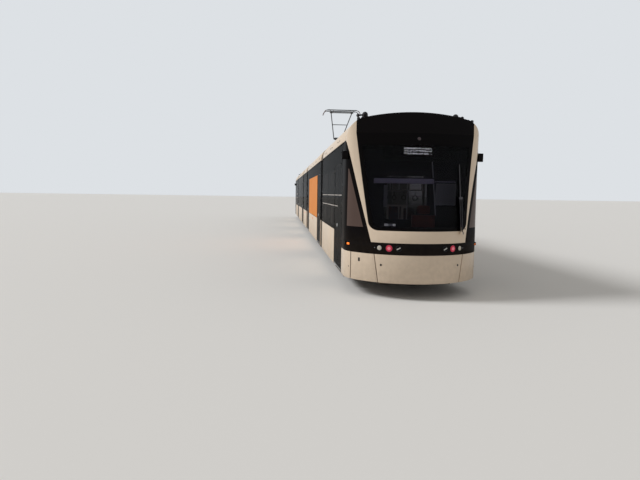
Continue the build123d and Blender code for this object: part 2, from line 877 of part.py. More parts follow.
def driver_seat():
    """The driver's seat on its foot: a cushion and a back that leans a little."""
    x0, x1 = driver_back_x, driver_back_x + driver_depth
    under = driver_seat_z - cushion
    profile = [
        (x0 + seat_back / 2, under),
        (x1, under),
        (x1, driver_seat_z),
        (x0 + 1.5 * seat_back, driver_seat_z),
        (x0 + seat_back, driver_back_z),
        (x0, driver_back_z),
    ]
    chair = side_prism(profile, driver_y - driver_half, driver_y + driver_half)
    foot = box(
        x0 + driver_foot_inset, x1 - driver_foot_inset,
        driver_y - driver_foot_half, driver_y + driver_foot_half,
        floor_z, under,
    )
    return chair + foot


# Bogies and wheelsets
def spring(x, y, foot, head):
    """A coil spring, drawn as a core with rings."""
    pitch = (head - foot) / spring_rings
    rings = [Pos(x, y, foot + (n + 0.5) * pitch) * Cylinder(spring_r, pitch / 2) for n in range(spring_rings)]
    return joined([Pos(x, y, (foot + head) / 2) * Cylinder(spring_core_r, head - foot), *rings])


def hub_motor(x):
    """The ribbed motor outside the wheels of one side, between its two arms."""
    place = Pos(x, motor_y, axle_z + journal_r / 2) * Rot(0, 90, 0)
    pitch = 2 * motor_half / (motor_ribs + 1)
    rib = Cylinder(motor_r, pitch / 3)
    ribs = [place * Pos(0, 0, (n + 1) * pitch - motor_half) * rib for n in range(motor_ribs)]
    return joined([place * Cylinder(motor_r - rib_depth, 2 * motor_half), *ribs])


def bogie(x):
    """A bogie frame: side beams with axle boxes, a low transom, outside motors, springs and track brakes."""
    beam_back = beam_y + beam_width
    beam_middle = beam_y + beam_width / 2
    beam_top = beam_z + beam_tall
    parts = [box(x - beam_half, x + beam_half, beam_y, beam_back, beam_z, beam_top), hub_motor(x)]
    for way in (-1, 1):
        box_x = x + way * wheelbase / 2
        lid_y0, lid_y1 = beam_y - axle_box_lip, beam_back + axle_box_lip
        lid_z0, lid_z1 = axle_z - axle_box_drop, beam_z + axle_box_rise
        lid = box(box_x - axle_box_half, box_x + axle_box_half, lid_y0, lid_y1, lid_z0, lid_z1)
        parts.append(fillet(lid.edges().filter_by(Axis.Y), axle_box_corner))
        parts.append(spring(x + way * spring_x, beam_middle, beam_top, podium_z - podium_wall))
        arm_x = x + way * motor_arm_x
        arm_z0, arm_z1 = axle_z - motor_arm_half, beam_top - motor_arm_half
        parts.append(box(arm_x - motor_arm_half, arm_x + motor_arm_half, beam_back, motor_y, arm_z0, arm_z1))
    x0, x1 = x - transom_half, x + transom_half
    parts.append(box(x0, x1, aisle_half + wall, beam_back, transom_z, beam_top))
    parts.append(box(x0, x1, 0, beam_back, transom_z, transom_top_z))
    brake_place = Pos(x, wheel_back + wheel_width / 2, 0)
    brake_side = brake_width / 2
    parts.append(brake_place * box(-brake_half, brake_half, -brake_side, brake_side, brake_z, brake_top_z))
    hanger = brake_place * box(-brake_hanger, brake_hanger, -brake_side, brake_side, brake_top_z, transom_z)
    parts.append(hanger)
    half = joined(parts)
    bore = Rot(90, 0, 0) * Cylinder(journal_r + journal_clear, 2 * half_width)
    for way in (-1, 1):
        half = half - Pos(x + way * wheelbase / 2, 0, axle_z) * bore
    return [half + mirror(half, about=Plane.XZ)]


def wheelset():
    """Two flanged wheels on one axle, turned about the Y axis through the origin."""
    face = wheel_back + wheel_width
    side = [
        (journal_end, 0),
        (journal_end, journal_r),
        (face - 5, journal_r),
        (face - 5, hub_r),
        (web_y[1], hub_r + 8),
        (web_y[1], rim_r - 12),
        (face, rim_r),
        (face, wheel_r - 3),
        (wheel_back + flange_width, wheel_r),
        (wheel_back + flange_width - 12, wheel_r + rail - 4),
        (wheel_back + flange_width - 20, wheel_r + rail),
        (wheel_back + 6, wheel_r + rail),
        (wheel_back, wheel_r + rail - 8),
        (wheel_back, rim_r),
        (web_y[0], rim_r - 12),
        (web_y[0], hub_r + 8),
        (wheel_back - hub_step, hub_r),
        (wheel_back - hub_step, axle_r),
    ]
    outline = side + [(-y, r) for y, r in reversed(side)]
    face = make_face(Polyline(*outline, close=True))
    return revolve(Plane.YZ * face, axis=Axis.Y)


# Current collector
def rod(a, b, r):
    """A round bar from point a to point b."""
    along = Vector(*b) - Vector(*a)
    return extrude(Plane(origin=a, z_dir=along) * Circle(r), amount=along.length)


def across(x, z, y0, y1, r):
    """A round bar across the tram."""
    return rod((x, y0, z), (x, y1, z), r)


def collector_base():
    """The base frame on its four insulators, with two bearing plates for the lower arm."""
    x, foot = collector_x, deck_z + seat_gap + roof_units["mid"][0][3]
    frame_z = base_pivot_z - base_drop
    top = frame_z + base_beam_tall
    side = base_beam / 2
    reach = insulator_y + base_beam
    whole = []
    for dx in (-insulator_x, insulator_x):
        for dy in (-insulator_y, insulator_y):
            whole.append(Pos(x + dx, dy, (foot + frame_z) / 2) * Cylinder(insulator_r, frame_z - foot))
            for n in range(insulator_sheds):
                shed = Pos(x + dx, dy, foot + (n + 1) * shed_pitch)
                whole.append(shed * Cylinder(insulator_r + insulator_shed, shed_tall))
        whole.append(box(x + dx - side, x + dx + side, -reach, reach, frame_z, top))
    for dy in (-insulator_y, insulator_y):
        whole.append(box(x - insulator_x - side, x + insulator_x + side, dy - side, dy + side, frame_z, top))
    whole.append(box(x - base_beam, x + base_beam, -reach, reach, frame_z, top))
    for way in (-1, 1):
        y0, y1 = way * shaft_bearing_y - lug_side, way * shaft_bearing_y + lug_side
        whole.append(box(x - lug_half, x + lug_half, y0, y1, frame_z, base_pivot_z + lug_half))
    return [joined(whole) - across(x, base_pivot_z, -reach, reach, shaft_r + shaft_clear)]


def lower_arm():
    """The lower arm: a tube between its base shaft and the knuckle's sleeve, with the guide rod above it."""
    low, high = (collector_x, 0, base_pivot_z), (knuckle[0], 0, knuckle[1])
    rod_low = (low[0] - guide_rod_step, guide_rod_y, low[2])
    rod_high = (high[0] + guide_rod_step, guide_rod_y, high[2] - guide_rod_step)
    tube_z = low[2] + guide_rod_step * (high[2] - low[2]) / (low[0] - high[0])
    inner_bearing = shaft_bearing_y - lug_side - 2 * seam
    outer_bearing = shaft_bearing_y + lug_side + 2 * seam
    whole = [
        rod(low, high, lower_tube_r),
        across(low[0], low[2], -outer_bearing, outer_bearing, shaft_r),
        across(low[0], low[2], -inner_bearing, inner_bearing, sleeve_r),
        across(high[0], high[2], -shaft_bearing_y, shaft_bearing_y, sleeve_r),
        rod(rod_low, rod_high, guide_rod_r),
        rod((rod_high[0], 0, rod_high[2]), rod_high, guide_rod_r),
        rod((rod_low[0], 0, tube_z), rod_low, guide_rod_r),
    ]
    reach = 2 * shaft_bearing_y
    return [joined(whole) - across(high[0], high[2], -reach, reach, shaft_r + shaft_clear)]


def upper_arm():
    """The upper arm: two tubes that spread from the knuckle shaft to the head shaft, with a cross brace."""
    low, high = knuckle, (collector_x, head_pivot_z)
    shaft_end = upper_half_low + upper_tube_r
    whole = [across(*low, -shaft_end, shaft_end, shaft_r)]
    for way in (-1, 1):
        foot = (low[0], way * upper_half_low, low[1])
        top = (high[0], way * upper_half_high, high[1])
        whole.append(rod(foot, top, upper_tube_r))
        whole.append(across(*high, way * (upper_half_high - bearing_long), way * bearing_out, bearing_r))
    brace_x, brace_z = low[0] + (high[0] - low[0]) * brace_at, low[1] + (high[1] - low[1]) * brace_at
    brace_half = upper_half_low + (upper_half_high - upper_half_low) * brace_at
    whole.append(across(brace_x, brace_z, -brace_half, brace_half, upper_tube_r * 0.8))
    return [joined(whole) - across(*high, -strip_half, strip_half, shaft_r + shaft_clear)]


def contact_head():
    """The head: a cross shaft, four struts and two contact strips that end in down-curved horns."""
    x, z = collector_x, head_pivot_z
    strut_y = bearing_out + strip_width / 2
    whole = [across(x, z, -strut_y - guide_rod_r, strut_y + guide_rod_r, shaft_r)]
    top = z + head_rise - strip_tall / 2
    for strip_x in (x - strip_gap, x + strip_gap):
        whole.append(Pos(strip_x, 0, top) * Box(strip_width, 2 * strip_half, strip_tall))
        for way in (-1, 1):
            root = (strip_x, way * (strip_half - strip_width / 2), top)
            tip = (strip_x, root[1] + way * horn_run, top - horn_drop)
            path = Edge.make_tangent_arc(root, (0, way, 0), tip)
            section = Plane(origin=root, z_dir=(0, way, 0)) * Circle(horn_tube_r)
            whole.append(sweep(section, path=path))
            whole.append(rod((x, way * strut_y, z), (strip_x, way * strut_y, top), guide_rod_r))
    return [joined(whole)]


def turned(pieces):
    """The same pieces at the other end of the tram."""
    return [Rot(0, 0, 180) * piece for piece in pieces]


def build():
    """Every node of the tram, by name."""
    nodes = {}
    front = front_pieces()
    made = {}
    for car in car_ends:
        makers = {"floor": floor, "walls": walls, "roof": roof, "glass": glazing, "fittings": fittings}
        made[car] = {piece: make(car) for piece, make in makers.items()}
        if doors[car]:
            made[car]["doors"] = door_leaves(car)
        if bogies[car] is not None:
            made[car]["bogie"] = bogie(bogies[car])
    made["mid"]["hinge_plates"] = [hinge_plate(hinge, way) for hinge, way in hinges["mid"]]
    made["mid"]["inner_bellows"] = [bellows(inner_hinge)]
    made["mid"]["outer_bellows"] = [bellows(outer_hinge)]
    made["end"]["glass"] = made["end"]["glass"] + front.pop("side_panes")
    made["end"].update(front)
    for piece, solids in made["centre"].items():
        nodes[f"centre_{piece}"] = solids
    for car in ("mid", "end"):
        for piece, solids in made[car].items():
            nodes[f"{car}_a_{piece}"] = solids
            nodes[f"{car}_b_{piece}"] = turned(solids)
    axle = wheelset()
    for name, centre in (("end_a", end_bogie_x), ("centre", 0), ("end_b", -end_bogie_x)):
        for side, way in (("front", 1), ("rear", -1)):
            nodes[f"wheelset_{name}_{side}"] = [Pos(centre + way * wheelbase / 2, 0, axle_z) * axle]
    nodes["collector_base"] = collector_base()
    nodes["collector_lower_arm"] = lower_arm()
    nodes["collector_upper_arm"] = upper_arm()
    nodes["collector_head"] = contact_head()
    return nodes


os.makedirs("parts", exist_ok=True)
for name, pieces in build().items():
    solids = [solid for piece in pieces for solid in piece.solids()]
    export_step(Compound(solids) if len(solids) > 1 else solids[0], f"parts/{name}.step")
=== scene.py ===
"""Dresses the articulated low-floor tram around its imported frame.

Lengths are metres in the tram's own frame: +X along it towards the end that the camera sees, +Y across,
+Z up, with the flange tips at 0 and the treads' lowest line 28 mm above them. Each sub-assembly is a class.
"""

import json
import logging
import math
import random
from collections.abc import Callable, Iterable, Sequence
from dataclasses import dataclass, field
from enum import Enum
from typing import NamedTuple

import bmesh
import bpy
from mathutils import Matrix, Vector
from mathutils.bvhtree import BVHTree


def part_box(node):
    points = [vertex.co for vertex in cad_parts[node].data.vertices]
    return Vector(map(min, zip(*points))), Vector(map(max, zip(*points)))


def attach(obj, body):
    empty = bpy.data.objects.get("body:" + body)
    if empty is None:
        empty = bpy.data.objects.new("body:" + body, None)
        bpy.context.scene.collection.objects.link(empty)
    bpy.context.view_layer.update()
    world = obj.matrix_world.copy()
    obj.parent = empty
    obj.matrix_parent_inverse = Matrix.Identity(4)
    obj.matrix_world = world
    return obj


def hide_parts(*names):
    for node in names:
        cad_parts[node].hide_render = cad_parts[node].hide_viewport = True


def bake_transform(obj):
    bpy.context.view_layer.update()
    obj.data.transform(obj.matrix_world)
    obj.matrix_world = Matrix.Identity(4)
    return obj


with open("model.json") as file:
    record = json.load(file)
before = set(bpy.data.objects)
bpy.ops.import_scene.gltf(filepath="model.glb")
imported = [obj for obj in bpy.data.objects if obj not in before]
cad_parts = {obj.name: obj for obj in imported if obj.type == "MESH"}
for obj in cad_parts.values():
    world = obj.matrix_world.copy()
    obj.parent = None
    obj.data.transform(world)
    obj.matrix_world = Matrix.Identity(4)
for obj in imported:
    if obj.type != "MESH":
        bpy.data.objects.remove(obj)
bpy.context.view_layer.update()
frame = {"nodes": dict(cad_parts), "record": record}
LOG = logging.getLogger("tram")

Point = Sequence[float]
MM = 0.001


class End(Enum):
    """The two ends of the tram, which are alike but for a half turn about Z."""

    A = "a"
    B = "b"

    @property
    def turn(self) -> Matrix:
        """The half turn that takes a piece of end A to this end."""
        return Matrix.Rotation(0 if self is End.A else math.pi, 4, "Z")

    @property
    def sign(self) -> int:
        """The side of the tram's middle on which this end lies, along X."""
        return 1 if self is End.A else -1


@dataclass(frozen=True)
class Levels:
    """Heights and widths that several sub-assemblies share.

    Attributes:
        shoulder: Where the side turns into the roof's corner.
        crown: The top of the front's curved roof line.
        roof_corner: The radius of the roof's corner.
        cab_back: The cab's side of its partition.
    """

    rail: float = 0.028
    skirt: float = 0.308
    slab: float = 0.228
    floor: float = 0.378
    podium: float = 0.728
    belt: float = 1.118
    door_top: float = 2.568
    ceiling: float = 2.648
    deck: float = 2.728
    cant: float = 2.980
    shoulder: float = 3.008
    crown: float = 3.500
    roof_corner: float = 0.400
    half: float = 1.325
    wall: float = 0.060
    nose: float = 16.100
    cab_back: float = 14.760


LEVEL = Levels()


class RoofUnit(NamedTuple):
    """One housing on a roof: its span along X, half width, height over the deck and number of fans."""

    start: float
    end: float
    half: float
    tall: float
    fans: int

    def fan_places(self) -> list[float]:
        """Gives the place of each fan's middle, along X."""
        return [self.start + (self.end - self.start) * (fan + 0.5) / self.fans for fan in range(self.fans)]


class SeatRow(NamedTuple):
    """One row of seats: its front edge along X, the way it faces, and True on a podium."""

    front: float
    way: int
    raised: bool


@dataclass(frozen=True)
class CarPlan:
    """One car of the +X half.

    Attributes:
        span: Its two end faces, along X.
        doors: The span of each door opening.
        panes: The span of each window pane.
        units: The housings on its roof.
        seats: Its rows of seats.
        bogie: The middle of its bogie, or None.
    """

    span: tuple[float, float]
    doors: tuple[tuple[float, float], ...]
    panes: tuple[tuple[float, float], ...]
    units: tuple[RoofUnit, ...]
    seats: tuple[SeatRow, ...]
    bogie: float | None = None


def split(start: float, end: float, count: int) -> tuple[tuple[float, float], ...]:
    """Divides a window band into equal panes.

    Args:
        start: Its lower end.
        end: Its upper end.
        count: How many panes it has.

    Returns:
        The span of each pane.
    """
    step = (end - start) / count
    return tuple((start + n * step, start + (n + 1) * step) for n in range(count))


PLANS = {
    "centre": CarPlan(
        span=(-1.42, 1.42),
        doors=(),
        panes=split(-1.42, 1.42, 2),
        units=(RoofUnit(-0.95, 0.95, 0.78, 0.42, 2),),
        seats=(SeatRow(-0.2, 1, True), SeatRow(0.2, -1, True)),
        bogie=0.0,
    ),
    "mid": CarPlan(
        span=(2.08, 9.47),
        doors=((2.135, 3.495), (8.055, 9.415)),
        panes=split(3.495, 8.055, 3),
        units=(
            RoofUnit(2.9, 4.65, 0.64, 0.43, 0),
            RoofUnit(5.3, 7.1, 0.8, 0.48, 2),
            RoofUnit(7.7, 8.9, 0.7, 0.4, 0),
        ),
        seats=(
            SeatRow(4.4, 1, False),
            SeatRow(4.9, -1, False),
            SeatRow(6.3, 1, False),
            SeatRow(6.8, -1, False),
        ),
    ),
    "end": CarPlan(
        span=(10.13, 14.76),
        doors=((13.345, 14.705),),
        panes=split(10.13, 13.345, 2),
        units=(RoofUnit(10.5, 12.3, 0.82, 0.48, 2), RoofUnit(12.7, 14.3, 0.76, 0.43, 0)),
        seats=(SeatRow(10.9, 1, True), SeatRow(11.6, -1, True), SeatRow(12.64, 1, True)),
        bogie=11.8,
    ),
}


def linear(colour: str) -> tuple[float, float, float, float]:
    """Turns an sRGB hex colour into the linear values that shaders take.

    Args:
        colour: Six hex digits after a hash sign.

    Returns:
        Linear red, green, blue and an alpha of 1.
    """
    parts = [int(colour[n : n + 2], 16) / 255 for n in (1, 3, 5)]
    red, green, blue = (c / 12.92 if c <= 0.04045 else ((c + 0.055) / 1.055) ** 2.4 for c in parts)
    return (red, green, blue, 1.0)


BLACK = linear("#000000")
# brake dust: its colour, how coarse and strong its speckle is, and how much it dulls
DUST = linear("#7d6f5e")
DUST_SPECKLE_MM = 90
DUST_SPECKLE = 1.6
DUST_ROUGHNESS = 0.5
# how much rougher a finish is where its cloudy patches darken it
PATCH_ROUGHNESS = 0.8
# the wave texture counts this many radians to a unit of its scale
WAVE_GAIN = 20


def add_node(
    tree: bpy.types.NodeTree, kind: str, settings: dict | None = None, links: dict | None = None
) -> bpy.types.Node:
    """Adds one shader node.

    Args:
        tree: The node tree that it goes into.
        kind: The node's Blender type.
        settings: Its properties and their values.
        links: Its inputs, by name or number, each with the socket or the value that feeds it.

    Returns:
        The new node.
    """
    node = tree.nodes.new(kind)
    for name, value in (settings or {}).items():
        setattr(node, name, value)
    for key, value in (links or {}).items():
        if isinstance(value, bpy.types.NodeSocket):
            tree.links.new(value, node.inputs[key])
        else:
            node.inputs[key].default_value = value
    return node


@dataclass(frozen=True)
class Finish:
    """A surface, named for its real material.

    Attributes:
        name: The material's name.
        colour: Its main colour.
        roughness: Its mean roughness.
        metallic: 1 for bare metal.
        coat: Weight of a clear coat.
        patch_mm: Size of its cloudy patches.
        patch: How much darker the patches are.
        grain_mm: Size of its grain, or 0 for none.
        relief_mm: Height of its grain.
        shine: Specular level of the base under the coat, where 0.5 is that of common plastic or paint.
        dust: How much dust lies on it low down.
        dust_top: Height at which the dust has gone.
    """

    name: str
    colour: str
    roughness: float
    metallic: float = 0.0
    coat: float = 0.0
    patch_mm: float = 400.0
    patch: float = 0.08
    grain_mm: float = 0.0
    relief_mm: float = 0.0
    shine: float = 0.5
    dust: float = 0.0
    dust_top: float = 1.3

    def start(self) -> tuple[bpy.types.Material, bpy.types.NodeTree, bpy.types.Node]:
        """Makes an empty material.

        Returns:
            The material, its node tree and its shader.
        """
        material = bpy.data.materials.new(self.name)
        material.use_nodes = True
        tree = material.node_tree
        tree.nodes.clear()
        gloss = {"Metallic": self.metallic, "Coat Weight": self.coat, "Specular IOR Level": self.shine}
        shader = add_node(tree, "ShaderNodeBsdfPrincipled", links=gloss)
        add_node(tree, "ShaderNodeOutputMaterial", links={"Surface": shader.outputs["BSDF"]})
        return material, tree, shader

    def cloud(self, tree: bpy.types.NodeTree, size_mm: float, detail: float = 3.0) -> bpy.types.NodeSocket:
        """Adds noise in object space.

        Args:
            tree: The node tree.
            size_mm: The size of one patch.
            detail: How fine the noise goes.

        Returns:
            The socket that carries it, from 0 to 1.
        """
        place = add_node(tree, "ShaderNodeTexCoord")
        noise = add_node(
            tree,
            "ShaderNodeTexNoise",
            links={"Vector": place.outputs["Object"], "Scale": 1000 / size_mm, "Detail": detail},
        )
        return noise.outputs["Fac"]

    def height(self, tree: bpy.types.NodeTree) -> bpy.types.NodeSocket:
        """Gives the socket with the height over the flange tips."""
        place = add_node(tree, "ShaderNodeTexCoord")
        return add_node(tree, "ShaderNodeSeparateXYZ", links={0: place.outputs["Object"]}).outputs["Z"]

    def maths(self, tree: bpy.types.NodeTree, operation: str, *values: object) -> bpy.types.NodeSocket:
        """Adds one step of arithmetic and returns its result."""
        links = dict(enumerate(values))
        return add_node(tree, "ShaderNodeMath", {"operation": operation}, links).outputs[0]

    def blend(
        self, tree: bpy.types.NodeTree, share: object, first: object, second: object
    ) -> bpy.types.NodeSocket:
        """Mixes two colours, which are inputs 6 and 7 of the Mix node, and returns its output 2."""
        links = {0: share, 6: first, 7: second}
        return add_node(tree, "ShaderNodeMix", {"data_type": "RGBA"}, links).outputs[2]

    def base(self, tree: bpy.types.NodeTree) -> object:
        """Gives the clean colour, which a banded finish works out by height."""
        return linear(self.colour)

    def rough(self, tree: bpy.types.NodeTree) -> object:
        """Gives the clean roughness."""
        return self.roughness

    def build(self) -> bpy.types.Material:
        """Makes the material with its patches, dust and grain."""
        material, tree, shader = self.start()
        patches = self.maths(tree, "MULTIPLY", self.cloud(tree, self.patch_mm), self.patch)
        colour = self.blend(tree, patches, self.base(tree), BLACK)
        rough = self.rough(tree)
        rough = self.maths(tree, "ADD", rough, self.maths(tree, "MULTIPLY", patches, PATCH_ROUGHNESS))
        if self.dust:
            links = {0: self.height(tree), 1: self.dust_top, 2: LEVEL.slab, 3: 0.0, 4: self.dust}
            fall = add_node(tree, "ShaderNodeMapRange", {"clamp": True}, links).outputs[0]
            speckle = self.maths(tree, "MULTIPLY", self.cloud(tree, DUST_SPECKLE_MM, 8), DUST_SPECKLE)
            layer = self.maths(tree, "MULTIPLY", fall, speckle)
            colour = self.blend(tree, layer, colour, DUST)
            rough = self.maths(tree, "ADD", rough, self.maths(tree, "MULTIPLY", layer, DUST_ROUGHNESS))
        tree.links.new(colour, shader.inputs["Base Color"])
        tree.links.new(rough, shader.inputs["Roughness"])
        if self.grain_mm:
            grain = self.cloud(tree, self.grain_mm, 2)
            links = {"Height": grain, "Distance": self.relief_mm * MM, "Strength": 1.0}
            bump = add_node(tree, "ShaderNodeBump", links=links)
            tree.links.new(bump.outputs["Normal"], shader.inputs["Normal"])
        return material


@dataclass(frozen=True)
class BandedPaint(Finish):
    """Body paint: the main colour, with a gloss black band between two heights.

    Attributes:
        band: The band's colour.
        band_roughness: Its roughness.
        foot: The height at which it begins.
        head: The height at which it ends.
    """

    band: str = "#08080a"
    band_roughness: float = 0.06
    foot: float = LEVEL.belt - 0.0004
    head: float = LEVEL.cant + 0.0004

    def inside(self, tree: bpy.types.NodeTree) -> bpy.types.NodeSocket:
        """Gives 1 inside the black band and 0 outside it."""
        level = self.height(tree)
        above = self.maths(tree, "GREATER_THAN", level, self.foot)
        return self.maths(tree, "MULTIPLY", above, self.maths(tree, "LESS_THAN", level, self.head))

    def base(self, tree: bpy.types.NodeTree) -> object:
        """Gives the two colours by height."""
        return self.blend(tree, self.inside(tree), linear(self.colour), linear(self.band))

    def rough(self, tree: bpy.types.NodeTree) -> object:
        """Gives the two roughnesses by height."""
        change = self.maths(tree, "MULTIPLY", self.inside(tree), self.band_roughness - self.roughness)
        return self.maths(tree, "ADD", change, self.roughness)


@dataclass(frozen=True)
class Glazing(Finish):
    """Toughened glass, tinted in its body colour, whose hard coat carries the reflections.

    Attributes:
        bend: How much it bends light, close to 1 because both faces of a pane cancel out.
    """

    bend: float = 1.002

    def build(self) -> bpy.types.Material:
        """Makes the material: clear, smooth, and tinted where light goes through."""
        material, tree, shader = self.start()
        shader.inputs["Base Color"].default_value = linear(self.colour)
        shader.inputs["Transmission Weight"].default_value = 1.0
        shader.inputs["IOR"].default_value = self.bend
        smears = self.maths(tree, "MULTIPLY", self.cloud(tree, self.patch_mm, 6), self.patch)
        tree.links.new(self.maths(tree, "ADD", smears, self.roughness), shader.inputs["Roughness"])
        return material


@dataclass(frozen=True)
class Glow(Finish):
    """A lit lens or lamp.

    Attributes:
        strength: How strongly it shines.
    """

    strength: float = 1.0

    def build(self) -> bpy.types.Material:
        """Makes the material, which gives off light of its own colour."""
        material, tree, shader = self.start()
        shader.inputs["Base Color"].default_value = linear(self.colour)
        shader.inputs["Emission Color"].default_value = linear(self.colour)
        shader.inputs["Emission Strength"].default_value = self.strength
        ripple = self.maths(tree, "MULTIPLY", self.cloud(tree, self.patch_mm), self.patch)
        tree.links.new(self.maths(tree, "ADD", ripple, self.roughness), shader.inputs["Roughness"])
        return material


@dataclass(frozen=True)
class Woven(Finish):
    """Moquette: short looped pile with a small woven fleck.

    Attributes:
        fleck: The flecks' colour.
        fleck_mm: About how far apart they lie.
        fleck_from: The level of the noise above which a fleck shows.
        thread_mm: Width of the woven loops.
        loop_mm: Height of the loops.
        shade: How much darker the cloth is between its loops.
        sheen: Weight of the pile's sheen.
    """

    fleck: str = "#7a2f24"
    fleck_mm: float = 35.0
    fleck_from: float = 0.58
    thread_mm: float = 6.0
    loop_mm: float = 0.8
    shade: float = 0.35
    sheen: float = 0.3

    def build(self) -> bpy.types.Material:
        """Makes the material from two crossed waves, drawn coarser than real loops so that they show."""
        material, tree, shader = self.start()
        place = add_node(tree, "ShaderNodeTexCoord").outputs["Object"]
        waves = []
        for direction in ("X", "Z"):
            settings = {"wave_type": "BANDS", "bands_direction": direction}
            links = {"Vector": place, "Scale": 1000 / self.thread_mm / WAVE_GAIN, "Distortion": 0.6}
            waves.append(add_node(tree, "ShaderNodeTexWave", settings, links).outputs["Fac"])
        weave = self.maths(tree, "MULTIPLY", waves[0], waves[1])
        flecks = self.maths(tree, "GREATER_THAN", self.cloud(tree, self.fleck_mm, 1), self.fleck_from)
        colour = self.blend(tree, flecks, linear(self.colour), linear(self.fleck))
        colour = self.blend(tree, self.maths(tree, "MULTIPLY", weave, self.shade), colour, BLACK)
        tree.links.new(colour, shader.inputs["Base Color"])
        shader.inputs["Roughness"].default_value = self.roughness
        shader.inputs["Sheen Weight"].default_value = self.sheen
        links = {"Height": weave, "Distance": self.loop_mm * MM, "Strength": 1.0}
        bump = add_node(tree, "ShaderNodeBump", links=links)
        tree.links.new(bump.outputs["Normal"], shader.inputs["Normal"])
        return material


class Stock:
    """Every finish of the tram, each with what it gives the eye."""

    # two-pack enamel over filled sheet: warm white, deep gloss, dusty low down
    white = Finish("warm_white_enamel", "#dfccb6", 0.3, coat=0.2, shine=0.2, patch=0.05, dust=0.28)
    # the same enamel on the side walls, with the black band behind the glazing
    side = BandedPaint("banded_side_enamel", "#dfccb6", 0.3, coat=0.12, shine=0.05, patch=0.05, dust=0.3)
    # black enamel: mirror-like, almost no colour of its own
    black = Finish("black_gloss_enamel", "#0b0606", 0.2, coat=0.12, shine=0.0, patch=0.3, dust=0.1)
    # bonded side glass: a grey tint that hides most of the saloon
    tint = Glazing("grey_tinted_glass", "#6e6a67", 0.0, coat=0.10, patch_mm=700, patch=0.01)
    # the cab's side panes: bronze film on the glass, half mirror; its mirrored light is painted into the flat
    # brown colour as a painted reflection, with only a faint coat
    bronze = Finish("bronze_film_with_painted_reflection", "#5c4c46", 0.14, coat=0.06, shine=0.05, patch_mm=500, patch=0.2)
    # black ceramic print fired on to the rim of the windscreen, also the display's face; on the cab's
    # fittings high up the same near-black is painted shade
    frit = Finish("black_frit_and_painted_shade", "#060303", 0.2, coat=0.1, shine=0.0, patch_mm=200, patch=0.2)
    # laminated windscreen: nearly clear
    screen = Glazing("laminated_windscreen_glass", "#8b8b96", 0.0, coat=0.10, patch_mm=900, patch=0.004)
    # the draught screens beside the doors: clear safety glass
    clear = Glazing("clear_safety_glass", "#c4cbcc", 0.0, coat=0.4, patch_mm=600, patch=0.01)
    # powder-coated roof sheet: flat grey, streaked by rain and collector dust
    roof = Finish(
        "grey_powder_coated_roof", "#8d8e8c", 0.55, patch_mm=250, patch=0.35, grain_mm=6, relief_mm=0.15
    )
    # aluminium equipment housings: lighter grey paint
    housing = Finish(
        "light_grey_housing_paint", "#b4b5b3", 0.45, patch_mm=180, patch=0.22, grain_mm=5, relief_mm=0.1
    )
    # underframe primer: dark, matt, dusty all over
    under = Finish("underframe_primer", "#2b2b2d", 0.7, patch_mm=120, patch=0.3, dust=0.5, dust_top=0.6)
    # bogie paint: dark grey under brown brake dust
    bogie = Finish(
        "bogie_paint", "#3a3a3b", 0.6,
        patch_mm=60, patch=0.35, grain_mm=8, relief_mm=0.3, dust=0.75, dust_top=0.9
    )
    # rolled wheel steel: brown-grey with light rust
    wheel = Finish(
        "rolled_wheel_steel", "#6a5648", 0.5, metallic=0.75,
        patch_mm=40, patch=0.5, grain_mm=4, relief_mm=0.1
    )
    # the tread, polished by the rail
    tread = Finish("polished_tread_steel", "#c9c7c2", 0.18, metallic=1.0, patch_mm=30, patch=0.1)
    # stainless grab rails: brushed, bright
    stainless = Finish("brushed_stainless_tube", "#c7c8c8", 0.28, metallic=1.0, patch_mm=30, patch=0.05)
    # moulded seals: dead black rubber, faint bloom
    rubber = Finish(
        "moulded_black_rubber", "#131213", 0.62, shine=0.15,
        patch_mm=60, patch=0.3, grain_mm=2, relief_mm=0.1, dust=0.25
    )
    # gangway bellows: coated fabric, dusty in its folds
    bellows = Finish(
        "coated_bellows_fabric", "#181718", 0.7, shine=0.15,
        patch_mm=90, patch=0.4, grain_mm=3, relief_mm=0.12, dust=0.35
    )
    # moulded ABS trim: fine spark-eroded texture
    abs_dark = Finish(
        "dark_moulded_abs", "#1d1b1e", 0.5, shine=0.25, patch_mm=50, patch=0.1, grain_mm=1.5, relief_mm=0.05
    )
    # the same in pale grey
    abs_pale = Finish(
        "pale_grey_moulded_abs", "#b9b8b3", 0.45, patch_mm=80, patch=0.08, grain_mm=1.5, relief_mm=0.05
    )
    # wiper arm and blade: satin black over steel
    wiper = Finish("satin_black_wiper_paint", "#3d393e", 0.35, patch_mm=40, patch=0.2)
    # wall and ceiling laminate: satin, seamless
    laminate = Finish("pale_wall_laminate", "#c6c3bc", 0.4, patch_mm=300, patch=0.05)
    # saloon floor: speckled rubber sheet
    lino = Finish(
        "speckled_floor_rubber", "#56575a", 0.65, patch_mm=9, patch=0.55, grain_mm=3, relief_mm=0.1
    )
    # gangway and step plates: bare aluminium worn bright
    plate = Finish(
        "worn_aluminium_plate", "#9b9c9c", 0.38, metallic=1.0,
        patch_mm=60, patch=0.3, grain_mm=14, relief_mm=0.8
    )
    # reflector bowl: vacuum-coated, mirror bright
    reflector = Finish("silvered_reflector", "#e8e9ea", 0.12, metallic=1.0, patch_mm=8, patch=0.15)
    # saloon seats: dark blue wool moquette
    moquette = Woven("seat_moquette", "#2f3b55", 0.85)
    # the cab seat's cover: red-brown wool cloth
    driver_cloth = Woven("driver_seat_cloth", "#8a3b2c", 0.85, fleck="#6b2b20", thread_mm=8)
    # self-adhesive vinyl film on the glass: flat, warm orange
    film = Finish("orange_vinyl_film", "#dd8630", 0.45, shine=0.08, patch_mm=500, patch=0.1)
    # frosted marking bands on the end cars' panes
    frost = Finish("frosted_marking_band", "#d2cbc4", 0.6, shine=0.1, patch_mm=60, patch=0.2)
    # tail lamps: red polycarbonate, lit from behind
    red_lens = Glow("lit_red_lens", "#b02f45", 0.2, shine=0.2, patch_mm=6, patch=0.3, strength=0.3)
